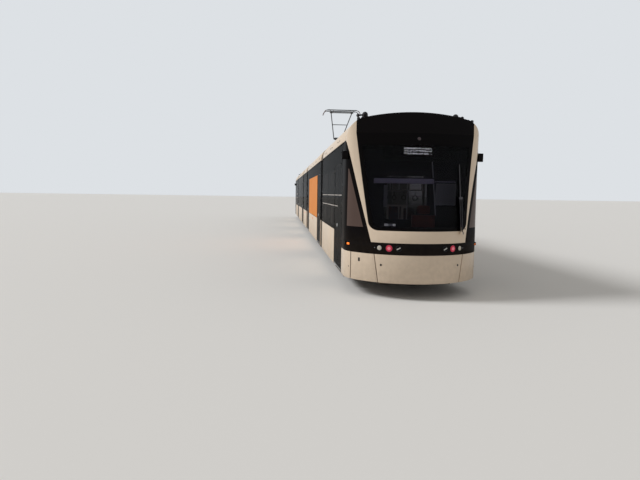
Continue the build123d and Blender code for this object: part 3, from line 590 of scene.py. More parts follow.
    # the brighter middle of a lit tail lamp
    red_core = Glow("lit_red_lens_core", "#c8717c", 0.2, shine=0.2, patch_mm=6, patch=0.3, strength=0.4)
    # head lamps and push buttons: clear polycarbonate, hardly lit
    clear_lens = Glow("clear_lens", "#b9b2a6", 0.15, shine=0.3, patch_mm=6, patch=0.2, strength=0.05)
    # lamp and sensor covers that stay dark when unlit
    smoked = Finish("smoked_lens", "#121113", 0.15, coat=0.12, shine=0.0, patch_mm=10, patch=0.2)
    # the sensor over the windscreen: grey plastic
    smoked_pale = Finish("grey_sensor_cover", "#4c4144", 0.35, shine=0.2, patch_mm=10, patch=0.15)
    # roller blind: coated pale fabric
    blind = Finish(
        "roller_blind_fabric", "#c9bfcb", 0.7, patch_mm=120, patch=0.15, grain_mm=1.5, relief_mm=0.1
    )
    # cab partition: dark high-pressure laminate
    partition = Finish("dark_partition_laminate", "#211c26", 0.4, shine=0.2, patch_mm=300, patch=0.1)
    # marker lamps: lit amber polycarbonate
    amber_lens = Glow("amber_lens", "#ff7a1c", 0.12, patch_mm=6, patch=0.2, strength=0.8)
    # the display's white diodes
    led = Glow("white_led_dots", "#f4f4ee", 0.3, strength=5.0)
    # light strips along the saloon's ceiling: warm white
    ceiling_lamp = Glow("saloon_light_strip", "#fff4e2", 0.4, strength=1.6)
    # screens on the desk: dim blue
    desk_screen = Glow("desk_screen", "#31506b", 0.2, strength=0.25)
    # die-cast aluminium: dull, faintly pitted
    alloy = Finish("die_cast_aluminium", "#a7a8a9", 0.4, metallic=1.0, patch_mm=25, patch=0.15)
    # collector tube: grey paint over steel, rain-streaked
    collector = Finish("collector_grey_paint", "#56585a", 0.45, patch_mm=60, patch=0.25)
    # carbon contact strip: matt black, finely scored
    carbon = Finish(
        "carbon_contact_strip", "#18181a", 0.5, patch_mm=10, patch=0.3, grain_mm=2, relief_mm=0.1
    )
    # braids that carry the current: tinned copper
    copper = Finish("tinned_copper_braid", "#9a7a5c", 0.35, metallic=1.0, patch_mm=8, patch=0.4)
    # insulators: brown silicone rubber
    insulator = Finish("brown_silicone_insulator", "#5a2c20", 0.35, coat=0.3, patch_mm=30, patch=0.2)
    # bolts, springs and small fittings: zinc-plated steel
    zinc = Finish("zinc_plated_steel", "#8f9296", 0.35, metallic=1.0, patch_mm=12, patch=0.2)


@dataclass
class Shape:
    """A piece in the making.

    Attributes:
        mesh: Its faces.
        finishes: The finishes that they carry.
        edge_steps: How many steps a rounded edge has.
    """

    mesh: bmesh.types.BMesh = field(default_factory=bmesh.new)
    finishes: list[Finish] = field(default_factory=list)
    edge_steps: int = 2

    def index(self, finish: Finish) -> int:
        """Gives the number of a finish, adding it to the list if it is new."""
        if finish not in self.finishes:
            self.finishes.append(finish)
        return self.finishes.index(finish)

    def dress(self, verts: Iterable[bmesh.types.BMVert], finish: Finish, edge: float = 0.0) -> None:
        """Gives new faces their finish and rounds their edges.

        Args:
            verts: The corners of the new faces.
            finish: Their finish.
            edge: Width of the rounding, or 0.
        """
        faces = {face for vert in verts for face in vert.link_faces}
        for face in faces:
            face.material_index = self.index(finish)
        if edge:
            self.round({side for face in faces for side in face.edges}, edge)

    def round(self, edges: Iterable[bmesh.types.BMEdge], width: float) -> None:
        """Rounds edges to a width."""
        bmesh.ops.bevel(
            self.mesh, geom=list(edges), offset=width, offset_type="OFFSET", affect="EDGES",
            segments=self.edge_steps, profile=0.5, material=-1, clamp_overlap=True,
        )

    def block(
        self, low: Point, high: Point, finish: Finish, edge: float = 0.0, place: Matrix | None = None
    ) -> None:
        """Adds a block between two corners, with its edges rounded, turned by place if there is one."""
        made = bmesh.ops.create_cube(self.mesh, size=1)["verts"]
        low, high = Vector(low), Vector(high)
        bmesh.ops.scale(self.mesh, verts=made, vec=high - low)
        bmesh.ops.translate(self.mesh, verts=made, vec=(low + high) / 2)
        if place is not None:
            bmesh.ops.transform(self.mesh, matrix=place, verts=made)
        self.dress(made, finish, edge)

    def tile(self, place: Matrix, depth: Point, half: Point, finish: Finish, edge: float) -> None:
        """Adds a block at a place, with its span along X and its half width and half height."""
        (low, high), (wide, tall) = depth, half
        self.block((low, -wide, -tall), (high, wide, tall), finish, edge, place)

    def rod(self, start: Point, end: Point, radius: float, finish: Finish, sides: int = 12) -> None:
        """Adds a round bar between two points."""
        start, end = Vector(start), Vector(end)
        along = end - start
        place = Matrix.Translation((start + end) / 2) @ along.to_track_quat("Z", "Y").to_matrix().to_4x4()
        made = bmesh.ops.create_cone(
            self.mesh, cap_ends=True, segments=sides, radius1=radius, radius2=radius,
            depth=along.length, matrix=place,
        )
        self.dress(made["verts"], finish)

    def pipe(self, path: Sequence[Point], radius: float, finish: Finish, sides: int = 8) -> None:
        """Adds a bent bar: straight runs with a ball at each bend."""
        for start, end in zip(path, path[1:]):
            self.rod(start, end, radius, finish, sides)
        for bend in path[1:-1]:
            self.ball(bend, radius, finish, sides)

    def ball(self, at: Point, radius: float, finish: Finish, sides: int = 12) -> None:
        """Adds a ball."""
        place = Matrix.Translation(Vector(at))
        made = bmesh.ops.create_uvsphere(
            self.mesh, u_segments=sides, v_segments=max(sides // 2, 4), radius=radius, matrix=place
        )
        self.dress(made["verts"], finish)

    def turned(
        self, profile: Sequence[Point], at: Point, axis: Point, finish: Finish, steps: int = 28
    ) -> None:
        """Spins a closed profile of (radius, height) pairs about an axis through a point."""
        at, axis = Vector(at), Vector(axis)
        turn = axis.to_track_quat("Z", "Y")
        verts = [self.mesh.verts.new(at + turn @ Vector((r, 0, h))) for r, h in profile]
        edges = [self.mesh.edges.new(two) for two in zip(verts, verts[1:] + verts[:1])]
        before = set(self.mesh.verts) - set(verts)
        bmesh.ops.spin(
            self.mesh, geom=verts + edges, cent=at, axis=axis, angle=math.tau, steps=steps, use_merge=True
        )
        fresh = [vert for vert in self.mesh.verts if vert not in before]
        bmesh.ops.remove_doubles(self.mesh, verts=fresh, dist=1e-6)
        self.dress([vert for vert in fresh if vert.is_valid], finish)

    def plate(self, outline: Sequence[Point], push: Point, finish: Finish, edge: float = 0.0) -> None:
        """Adds a flat outline pushed along a vector into a solid."""
        face = self.mesh.faces.new([self.mesh.verts.new(point) for point in outline])
        grown = bmesh.ops.extrude_face_region(self.mesh, geom=[face])["geom"]
        top = [item for item in grown if isinstance(item, bmesh.types.BMVert)]
        bmesh.ops.translate(self.mesh, verts=top, vec=Vector(push))
        self.dress(top, finish, edge)

    def pad(self, low: Point, high: Point, finish: Finish, crown: float, place: Matrix | None = None) -> None:
        """Adds a cushion whose faces swell between pulled-in corners.

        Args:
            low: Its lowest corner.
            high: Its highest corner.
            finish: Its cover.
            crown: How far the middle of each face swells beyond its edges.
            place: A turn to make afterwards.
        """
        made = bmesh.ops.create_cube(self.mesh, size=2)["verts"]
        sides = list({side for vert in made for side in vert.link_edges})
        grown = bmesh.ops.subdivide_edges(self.mesh, edges=sides, cuts=7, use_grid_fill=True)["geom"]
        low, high = Vector(low), Vector(high)
        middle, half = (low + high) / 2, (high - low) / 2
        fresh = list({vert for item in grown if isinstance(item, bmesh.types.BMFace) for vert in item.verts})
        for vert in fresh:
            u = vert.co.copy()
            swell = Vector([u[i] * (1 - u[i - 1] ** 2) * (1 - u[i - 2] ** 2) for i in range(3)]) * crown
            vert.co = middle + Vector([u[i] * (half[i] - crown) for i in range(3)]) + swell
        if place is not None:
            bmesh.ops.transform(self.mesh, matrix=place, verts=fresh)
        self.dress(fresh, finish)

    def button(
        self, at: Point, axis: Point, radius: float, height: float, finish: Finish, steps: int = 16
    ) -> None:
        """Adds a low round boss with a rounded rim, such as a bolt head, a lens or a cover."""
        rim = min(height, radius) * 0.35
        side = [(radius, -height), (radius, height - rim), (radius - rim, height)]
        self.turned([(0, -height), *side, (0, height)], at, axis, finish, steps)

    def collar(
        self, at: Point, axis: Point, inner: float, outer: float, height: float, finish: Finish
    ) -> None:
        """Adds a flat ring with a rounded rim round an axis."""
        rim = (outer - inner) * 0.3
        side = [(outer, -height), (outer, height - rim), (outer - rim, height)]
        self.turned([(inner, -height), *side, (inner, height - rim)], at, axis, finish)

    def bolts(self, at: Point, axis: Point, ring: float, count: int, radius: float, finish: Finish) -> None:
        """Adds a ring of bolt heads round an axis."""
        turn = Vector(axis).to_track_quat("Z", "Y")
        for n in range(count):
            angle = math.tau * n / count
            place = Vector(at) + turn @ Vector((ring * math.cos(angle), ring * math.sin(angle), 0))
            self.button(place, axis, radius, radius * 0.7, finish, 6)

    def coil(self, start: Point, end: Point, radius: float, wire: float, turns: int, finish: Finish) -> None:
        """Adds a coil spring between two points, as a spun section."""
        start, end = Vector(start), Vector(end)
        axis = (end - start).normalized()
        turn = axis.to_track_quat("Z", "Y")
        ring = [(radius + wire * math.cos(k), wire * math.sin(k)) for k in (0.8, 2.4, 3.9, 5.5)]
        verts = [self.mesh.verts.new(start + turn @ Vector((r, 0, h + wire))) for r, h in ring]
        edges = [self.mesh.edges.new(two) for two in zip(verts, verts[1:] + verts[:1])]
        before = set(self.mesh.verts) - set(verts)
        steps = turns * 14
        rise = ((end - start).length - 2 * wire) / steps
        bmesh.ops.spin(
            self.mesh, geom=verts + edges, cent=start, axis=axis, dvec=axis * rise,
            angle=math.tau * turns, steps=steps,
        )
        fresh = [vert for vert in self.mesh.verts if vert not in before]
        rims = [side for vert in fresh for side in vert.link_edges if side.is_boundary]
        bmesh.ops.holes_fill(self.mesh, edges=list(set(rims)), sides=8)
        self.dress(fresh, finish)

    def everything(self) -> list[bmesh.types.BMVert | bmesh.types.BMEdge | bmesh.types.BMFace]:
        """Gives all its corners, edges and faces."""
        return [*self.mesh.verts, *self.mesh.edges, *self.mesh.faces]

    def cut(self, at: Point, normal: Point) -> None:
        """Splits the faces that a plane crosses."""
        bmesh.ops.bisect_plane(self.mesh, geom=self.everything(), plane_co=at, plane_no=normal, dist=1e-6)

    def repaint(self, finish: Finish, test: Callable[[Vector, Vector], bool]) -> None:
        """Gives a finish to the faces whose middle and normal pass a test."""
        self.mesh.normal_update()
        for face in self.mesh.faces:
            if test(face.calc_center_median(), face.normal):
                face.material_index = self.index(finish)

    def mirror(self) -> "Shape":
        """Adds the mirror image on the other side of the tram."""
        copies = bmesh.ops.duplicate(self.mesh, geom=self.everything())["geom"]
        verts = [item for item in copies if isinstance(item, bmesh.types.BMVert)]
        faces = [item for item in copies if isinstance(item, bmesh.types.BMFace)]
        bmesh.ops.scale(self.mesh, verts=verts, vec=(1, -1, 1))
        bmesh.ops.reverse_faces(self.mesh, faces=faces)
        return self


@dataclass
class Workshop:
    """Makes materials once and turns shapes into pieces that ride on the tram's bodies.

    Attributes:
        flat: Angle in degrees up to which two faces of a node count as one.
        corner: Angle in degrees from which an edge of a node is rounded.
    """

    materials: dict[str, bpy.types.Material] = field(default_factory=dict)
    made: int = 0
    flat: float = 0.6
    corner: float = 38.0

    def material(self, finish: Finish) -> bpy.types.Material:
        """Gives the material of a finish, made at its first use."""
        if finish.name not in self.materials:
            self.materials[finish.name] = finish.build()
        return self.materials[finish.name]

    def slot_of(self, node: str) -> str:
        """Gives the record's material slot of a node of the frame."""
        return next(part["material_slot"] for part in frame["record"]["subparts"] if part["node"] == node)

    def body_of(self, node: str) -> str:
        """Gives the body that a node of the frame belongs to."""
        bodies = frame["record"]["behaviour"]["bodies"]
        return next(body for body, members in bodies.items() if node in members)

    def publish(
        self, shape: Shape, name: str, body: str | None, slot: str,
        turn: Matrix | None = None, replaces: Sequence[str] = (), sharp: float = 32.0,
    ) -> bpy.types.Object:
        """Turns a shape into a piece of the scene.

        Args:
            shape: The shape.
            name: The piece's name.
            body: The body that it rides on, or None.
            slot: The record's material slot; not used.
            turn: A turn to make first.
            replaces: The nodes that it stands for.
            sharp: The angle in degrees from which an edge stays sharp.

        Returns:
            The new object.
        """
        data = bpy.data.meshes.new(name)
        bmesh.ops.recalc_face_normals(shape.mesh, faces=list(shape.mesh.faces))
        shape.mesh.to_mesh(data)
        if turn is not None:
            data.transform(turn)
        for finish in shape.finishes:
            data.materials.append(self.material(finish))
        data.polygons.foreach_set("use_smooth", [True] * len(data.polygons))
        data.set_sharp_from_angle(angle=math.radians(sharp))
        piece = bpy.data.objects.new(name, data)
        bpy.context.scene.collection.objects.link(piece)
        if body is not None:
            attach(piece, body)
        if replaces:
            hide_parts(*replaces)
        self.made += 1
        LOG.info("%s: %d faces", name, len(data.polygons))
        return piece

    def everywhere(self, shape: Shape, car: str, name: str, slot: str, node: str = "") -> None:
        """Publishes a piece on each car of a kind.

        Args:
            shape: The shape, as it lies on the car of end A.
            car: The kind of car.
            name: The piece's name within its car.
            slot: The record's material slot.
            node: The node within its car that it stands for, if any.
        """
        for body, end in zip(car_names(car), End):
            replaces = [f"{body}_{node}"] if node else []
            self.publish(shape, f"{body}_{name}", body, slot, end.turn, replaces)

    def from_node(self, node: str, finish: Finish, edge: float = 0.0) -> Shape:
        """Takes a merged copy of a node of the frame, with its outer edges rounded.

        Args:
            node: The node's name.
            finish: The finish of all its faces.
            edge: Width of the rounding, or 0.

        Returns:
            The shape.
        """
        shape = Shape()
        mesh = shape.mesh
        mesh.from_mesh(frame["nodes"][node].data)
        bmesh.ops.remove_doubles(mesh, verts=list(mesh.verts), dist=1e-5)
        limit = math.radians(self.flat)
        bmesh.ops.dissolve_limit(mesh, angle_limit=limit, verts=list(mesh.verts), edges=list(mesh.edges))
        mesh.normal_update()
        shape.dress(mesh.verts, finish)
        if edge:
            limit = math.radians(self.corner)
            corners = [side for side in mesh.edges if side.is_manifold and side.calc_face_angle(0) > limit]
            shape.round(corners, edge)
        return shape

    def refine(self, node: str, finish: Finish) -> None:
        """Stands a smoothly shaded copy of a node in for the node."""
        shape = self.from_node(node, finish)
        self.publish(shape, f"{node}_dressed", self.body_of(node), self.slot_of(node), replaces=[node])

    def paint(self, node: str, finish: Finish) -> None:
        """Gives a node of the frame a finish and leaves its shape as it is."""
        slots = frame["nodes"][node].data.materials
        slots.clear()
        slots.append(self.material(finish))


@dataclass
class Studio:
    """The camera, the floor and the light.

    Attributes:
        eye: The camera's place, from a fit of the photograph's points to the tram's.
        yaw: How far it looks to the right of the tram's axis, in degrees.
        pitch: How far it looks down, in degrees.
        roll: How far it leans, in degrees.
        focal_px: Its focal length in pixels.
        frame_px: The width of its frame in pixels.
        floor_reach: How far the floor reaches from the tram's middle.
        ambient: The colour and strength of the light from all round.
        backdrop: The same for what the camera sees, straight, mirrored or through glass.
        sun_spread: The key light's spread in degrees, which softens the shadows.
    """

    eye: tuple[float, float, float] = (24.584, -2.596, 1.928)
    yaw: float = 4.80
    pitch: float = 5.45
    roll: float = 0.82
    focal_px: float = 480.0
    frame_px: float = 640.0
    floor_reach: float = 300.0
    ambient: tuple[str, float] = ("#e8e5e0", 0.5)
    backdrop: tuple[str, float] = ("#dde1e5", 1.0)
    sun_energy: float = 1.9
    sun_spread: float = 18.0
    sun_way: Point = (0.10, 0.80, -0.60)

    def camera(self) -> None:
        """Places the camera at the photograph's viewpoint."""
        data = bpy.data.cameras.new("camera")
        data.lens = self.focal_px / self.frame_px * data.sensor_width
        data.clip_end = 500
        camera = bpy.data.objects.new("camera", data)
        camera.location = self.eye
        yaw, pitch = math.radians(self.yaw), math.radians(self.pitch)
        look = Vector((-math.cos(pitch) * math.cos(yaw), math.cos(pitch) * math.sin(yaw), -math.sin(pitch)))
        right = Vector((math.sin(yaw), math.cos(yaw), 0.0))
        up = right.cross(look)
        roll = math.radians(self.roll)
        side = right * math.cos(roll) + up * math.sin(roll)
        top = up * math.cos(roll) - right * math.sin(roll)
        camera.rotation_euler = Matrix((side, top, -look)).transposed().to_euler()
        bpy.context.scene.collection.objects.link(camera)
        bpy.context.scene.camera = camera

    def floor(self) -> None:
        """Lays the pale floor at the level of the flange tips."""
        shape = Shape()
        made = bmesh.ops.create_grid(shape.mesh, x_segments=1, y_segments=1, size=self.floor_reach)["verts"]
        pale = Finish("pale_studio_floor", "#e9e8e6", 0.9, patch=0.0)
        shape.dress(made, pale)
        data = bpy.data.meshes.new("floor")
        shape.mesh.to_mesh(data)
        data.materials.append(pale.build())
        floor = bpy.data.objects.new("floor", data)
        bpy.context.scene.collection.objects.link(floor)

    def light(self) -> None:
        """Lights the tram evenly from all round, with one soft key light on its -Y side."""
        world = bpy.data.worlds.new("studio")
        bpy.context.scene.world = world
        world.use_nodes = True
        tree = world.node_tree
        tree.nodes.clear()
        ambient, seen = (
            add_node(tree, "ShaderNodeBackground", links={"Color": linear(colour), "Strength": strength})
            for colour, strength in (self.ambient, self.backdrop)
        )
        path = add_node(tree, "ShaderNodeLightPath").outputs
        share = path["Is Camera Ray"]
        for ray in ("Is Glossy Ray", "Is Transmission Ray"):
            either = {0: share, 1: path[ray]}
            share = add_node(tree, "ShaderNodeMath", {"operation": "MAXIMUM"}, either).outputs[0]
        links = {0: share, 1: ambient.outputs[0], 2: seen.outputs[0]}
        mix = add_node(tree, "ShaderNodeMixShader", links=links)
        add_node(tree, "ShaderNodeOutputWorld", links={"Surface": mix.outputs[0]})
        lamp = bpy.data.lights.new("key", "SUN")
        lamp.energy = self.sun_energy
        lamp.angle = math.radians(self.sun_spread)
        key = bpy.data.objects.new("key", lamp)
        key.rotation_euler = Vector(self.sun_way).to_track_quat("-Z", "Y").to_euler()
        bpy.context.scene.collection.objects.link(key)
        bpy.context.scene.view_settings.view_transform = "Standard"

    def build(self) -> None:
        """Makes the camera, the floor and the light."""
        self.camera()
        self.floor()
        self.light()


def outline(inset: float, foot: float, bends: int = 6) -> list[tuple[float, float]]:
    """Gives the body's cross-section.

    Args:
        inset: How far inside the outer skin it lies.
        foot: The height of its two feet.
        bends: How many steps each arc has.

    Returns:
        Its (y, z) points from the +Y foot over the roof to the -Y foot.
    """
    reach, corner = LEVEL.crown - LEVEL.shoulder - inset, LEVEL.roof_corner - inset
    half = LEVEL.half - inset
    side = half - corner
    front = (reach**2 + side**2 - corner**2) / (2 * (reach - corner))
    turn = math.atan2(front - reach, side)
    points = [(half, foot), (half, LEVEL.shoulder)]
    for n in range(1, bends + 1):
        angle = turn * n / bends
        points.append((side + corner * math.cos(angle), LEVEL.shoulder + corner * math.sin(angle)))
    for n in range(1, bends + 1):
        angle = turn + (math.pi / 2 - turn) * n / bends
        points.append((front * math.cos(angle), LEVEL.crown - inset - front + front * math.sin(angle)))
    return points + [(-y, z) for y, z in reversed(points[:-1])]


def facing(at: Vector, normal: Vector) -> Matrix:
    """Gives the place of a tile whose X points along a normal and whose Z points up."""
    return Matrix.Translation(at) @ normal.to_track_quat("X", "Z").to_matrix().to_4x4()


def car_names(car: str) -> list[str]:
    """Gives the names of the cars of one kind."""
    return ["centre"] if car == "centre" else [f"{car}_{end.value}" for end in End]


@dataclass
class Skin:
    """The outer face of the front at end A, for placing what sits on it."""

    tree: BVHTree = field(init=False)

    def __post_init__(self) -> None:
        """Reads the front's nodes."""
        whole = bmesh.new()
        for part in ("windscreen", "frame", "black_panels", "skirt", "lamps"):
            whole.from_mesh(frame["nodes"][f"end_a_{part}"].data)
        self.tree = BVHTree.FromBMesh(whole)
        whole.free()

    def front(self, y: float, z: float) -> tuple[Vector, Vector]:
        """Gives the point and the outward normal of the front at a place across and a height."""
        point, normal, _, _ = self.tree.ray_cast(Vector((LEVEL.nose + 1, y, z)), Vector((-1, 0, 0)))
        return point, normal if normal.x > 0 else -normal


@dataclass
class Bodywork:
    """Walls, doors, glass, floors and roofs of all the cars, with their seals, latches and door gear.

    Attributes:
        fine_edge: The same for floors, door leaves and step plates.
        slack: How far a face may lie outside the box that it is looked for in.
        reveal: How far the wall's outer layer reaches in at the front.
        tier: How far from the middle the podiums' inner sides lie at most.
        grille: How far inside a housing's side its grille begins and ends.
        leaf_depth: How far the door leaves lie behind the wall's face.
        seals: The place, width and proud height of a door's seals, from its lower end, middle and upper end.
        rail_levels: The upper and lower end of a leaf's grab rail.
        button: The inner and outer radius of a push button's ring, and the radius of its lens.
        film_levels: The foot and head of the film.
        bands: The height of each frosted band and how far forward it reaches.
        latch: Half of the length, thickness and height of a fairing's latch.
        latch_pitch: About how far apart the pairs of latches lie.
        lock_pitch: How far apart the skirt's locks lie.
        marker: The radius of a side lamp's lens, and of its ring.
    """

    shop: Workshop
    edge: float = 0.004
    fine_edge: float = 0.003
    slack: float = 0.001
    reveal: float = 0.020
    tier: float = 0.610
    grille: tuple[float, float] = (0.008, 0.016)
    fan: float = 0.256
    leaf_depth: float = 0.012
    seals: tuple[Point, ...] = ((0.006, 0.018, 0.004), (-0.016, 0.032, 0.006), (-0.024, 0.018, 0.004))
    rail_levels: tuple[float, float] = (1.75, 0.95)
    button: tuple[float, float, float] = (0.028, 0.038, 0.026)
    button_level: float = 1.25
    film_levels: tuple[float, float] = (1.13, 2.57)
    film_inset: float = 0.006
    film_thickness: float = 0.0012
    bands: tuple[tuple[float, float], ...] = ((1.915, 14.65), (1.672, 13.98))
    band_height: float = 0.014
    gutter_height: float = 0.030
    latch: tuple[float, float, float] = (0.028, 0.004, 0.011)
    latch_level: float = 3.075
    latch_pitch: float = 1.5
    lock_pitch: float = 0.46
    marker: tuple[float, float] = (0.034, 0.044)
    marker_level: float = 0.99

    def walls(self, car: str) -> None:
        """Dresses the side walls: enamel outside, laminate inside."""
        shape = self.shop.from_node(f"{car_names(car)[0]}_walls", Stock.side, self.edge)
        inner, outer = LEVEL.half - LEVEL.wall, LEVEL.half - self.reveal
        front = PLANS["end"].doors[0][1] - self.reveal
        shape.repaint(Stock.laminate, lambda at, n: abs(n.y) > 0.9 and abs(at.y) < inner + 0.003)
        shape.repaint(Stock.black, lambda at, n: at.x > front and abs(at.y) > inner and at.z < LEVEL.belt)
        shape.repaint(Stock.abs_dark, lambda at, n: at.x > LEVEL.cab_back and abs(at.y) < outer and n.z < 0.3)
        self.shop.everywhere(shape, car, "walls_dressed", "white_paint", "walls")

    def floors(self, car: str) -> None:
        """Dresses the floors: speckled rubber on top, primer underneath."""
        shape = self.shop.from_node(f"{car_names(car)[0]}_floor", Stock.under, self.fine_edge)
        shape.repaint(Stock.lino, lambda at, n: n.z > 0.8 and at.z > LEVEL.floor - 0.01)

        def on_riser(at: Vector, normal: Vector) -> bool:
            """Tells whether a face is the inner side of a podium."""
            return LEVEL.floor < at.z < LEVEL.podium and abs(normal.y) > 0.8 and abs(at.y) < self.tier

        shape.repaint(Stock.abs_pale, on_riser)
        self.shop.everywhere(shape, car, "floor_dressed", "underframe_paint", "floor")

    def roofs(self, car: str, plan: CarPlan) -> None:
        """Dresses the roofs: deck, pale ceiling, and housings with dark grilles and fans."""
        shape = self.shop.from_node(f"{car_names(car)[0]}_roof", Stock.roof, self.edge)
        shape.repaint(Stock.laminate, lambda at, n: n.z < -0.8 and abs(at.z - LEVEL.ceiling) < 0.01)
        # the cab's ceiling is painted dark: painted shade for the dim cab under the hood
        shape.repaint(Stock.abs_dark, lambda at, n: at.x > LEVEL.cab_back and at.z < LEVEL.deck - 0.01)
        shape.repaint(Stock.abs_pale, lambda at, n: at.z < LEVEL.deck - 0.1)
        near, far = self.grille
        for unit in plan.units:

            def inside(at: Vector, normal: Vector) -> bool:
                """Tells whether a face belongs to the housing."""
                along = unit.start - self.slack < at.x < unit.end + self.slack
                return along and abs(at.y) < unit.half + self.slack and at.z > LEVEL.deck + 0.0004

            def on_grille(at: Vector, normal: Vector) -> bool:
                """Tells whether a face lies in a grille of the housing."""
                return inside(at, normal) and abs(normal.y) > 0.8 and near < unit.half - abs(at.y) < far

            shape.repaint(Stock.housing, inside)
            shape.repaint(Stock.abs_dark, on_grille)
            for middle in unit.fan_places():

                def on_fan(at: Vector, normal: Vector) -> bool:
                    """Tells whether a face lies in a fan's opening."""
                    low = at.z < LEVEL.deck + unit.tall - self.slack
                    return low and inside(at, normal) and math.hypot(at.x - middle, at.y) < self.fan

                shape.repaint(Stock.abs_dark, on_fan)
        self.shop.everywhere(shape, car, "roof_dressed", "roof_paint", "roof")

    def door_trim(self, plan: CarPlan) -> Shape:
        """Makes the rubber seals, step plates, grab rails and push buttons of a car's doors."""
        shape = Shape()
        face = LEVEL.half - self.leaf_depth
        foot, head = LEVEL.skirt + 0.03, LEVEL.door_top - 0.01
        for start, end in plan.doors:
            middle = (start + end) / 2
            for origin, (step, width, proud) in zip((start, middle, end), self.seals):
                low = (origin + step, face - 0.03, foot)
                shape.block(low, (low[0] + width, face + proud, head), Stock.rubber, 0.004)
            low = (start + 0.01, face - 0.02, LEVEL.floor - 0.05)
            high = (end - 0.01, face + 0.010, LEVEL.floor - 0.02)
            shape.block(low, high, Stock.plate, self.fine_edge)
            upper, lower = self.rail_levels
            for rail in (middle - 0.11, middle + 0.11):
                bends = [(0.05, upper), (0.10, upper), (0.10, lower), (0.05, lower)]
                shape.pipe([(rail, face - inward, z) for inward, z in bends], 0.014, Stock.stainless)
            at = (middle - 0.075, face + 0.006, self.button_level)
            inner, outer, lens = self.button
            shape.collar(at, (0, 1, 0), inner, outer, 0.014, Stock.stainless)
            shape.button(at, (0, 1, 0), lens, 0.011, Stock.clear_lens, 24)
        return shape.mirror()

    def film(self) -> Shape:
        """Makes the plain orange film over the window panes of one hung car."""
        shape = Shape()
        foot, head = self.film_levels
        for start, end in PLANS["mid"].panes:
            low = (start + self.film_inset, LEVEL.half, foot)
            high = (end - self.film_inset, LEVEL.half + self.film_thickness, head)
            shape.block(low, high, Stock.film)
        return shape.mirror()

    def marking(self) -> Shape:
        """Makes the two frosted bands along the panes and door leaves of an end car."""
        shape = Shape()
        runs = list(PLANS["end"].panes)
        for start, end in PLANS["end"].doors:
            runs += split(start, end, 2)
        for level, reach in self.bands:
            for start, end in runs:
                if end < reach + 0.1:
                    low = (start + 0.06, LEVEL.half - self.leaf_depth, level - self.band_height / 2)
                    high = (min(end - 0.06, reach), LEVEL.half + 0.0008, level + self.band_height / 2)
                    shape.block(low, high, Stock.frost)
        return shape.mirror()

    def cab_glass(self) -> None:
        """Stands a copy of the end cars' glass in for it, with bronze film on the cab's panes."""
        shape = self.shop.from_node("end_a_glass", Stock.tint)
        # the cab's panes get the bronze film, whose brown colour holds a painted reflection
        shape.repaint(Stock.bronze, lambda at, n: at.x > LEVEL.cab_back)
        self.shop.everywhere(shape, "end", "glass_dressed", "dark_glass", "glass")

    def trim(self, car: str, plan: CarPlan) -> Shape:
        """Makes the gutter, the fairing's latches, the skirt's quarter-turn locks and the side lamps."""
        shape = Shape()
        start, end = plan.span
        top = LEVEL.cant - 0.002
        low, high = (start, LEVEL.half - 0.004, top - self.gutter_height), (end, LEVEL.half + 0.007, top)
        shape.block(low, high, Stock.rubber, 0.002)
        count = max(2, round((end - start) / self.latch_pitch))
        for near, far in split(start, end, count):
            for step in (-0.16, 0.16):
                at = ((near + far) / 2 + step, LEVEL.half - 0.001, self.latch_level)
                place = Matrix.Translation(at)
                half = Vector(self.latch)
                shape.block(-half, half, Stock.abs_dark, 0.003, place)
                shape.button(place @ Vector((0.012, 0.004, 0)), (0, 1, 0), 0.006, 0.002, Stock.zinc, 8)
        for n in range(int((end - start - 0.2) / self.lock_pitch) + 1):
            spot = start + 0.12 + self.lock_pitch * n
            if not any(a - 0.1 < spot < b + 0.1 for a, b in plan.doors):
                for level in (LEVEL.skirt + 0.045, LEVEL.belt - 0.045):
                    shape.button((spot, LEVEL.half, level), (0, 1, 0), 0.010, 0.0015, Stock.zinc, 10)
        if car != "end":
            at = ((start + end) / 2, LEVEL.half + 0.001, self.marker_level)
            lens, ring = self.marker
            shape.button(at, (0, 1, 0), lens, 0.012, Stock.amber_lens, 20)
            shape.collar(at, (0, 1, 0), lens, ring, 0.006, Stock.rubber)
        return shape.mirror()

    def build(self) -> None:
        """Makes all the bodywork."""
        for car, plan in PLANS.items():
            self.walls(car)
            self.floors(car)
            self.roofs(car, plan)
            for name in car_names(car):
                if car != "end":
                    self.shop.paint(f"{name}_glass", Stock.tint)
            self.shop.everywhere(self.trim(car, plan), car, "side_trim", "bellows_rubber")
            if plan.doors:
                leaf = self.shop.from_node(f"{car_names(car)[0]}_doors", Stock.black, self.fine_edge)
                self.shop.everywhere(leaf, car, "doors_dressed", "black_paint", "doors")
                self.shop.everywhere(self.door_trim(plan), car, "door_trim", "bellows_rubber")
        self.cab_glass()
        self.shop.everywhere(self.marking(), "end", "marking_bands", "white_paint")
        self.shop.publish(self.film(), "mid_a_window_film", "mid_a", "white_paint")


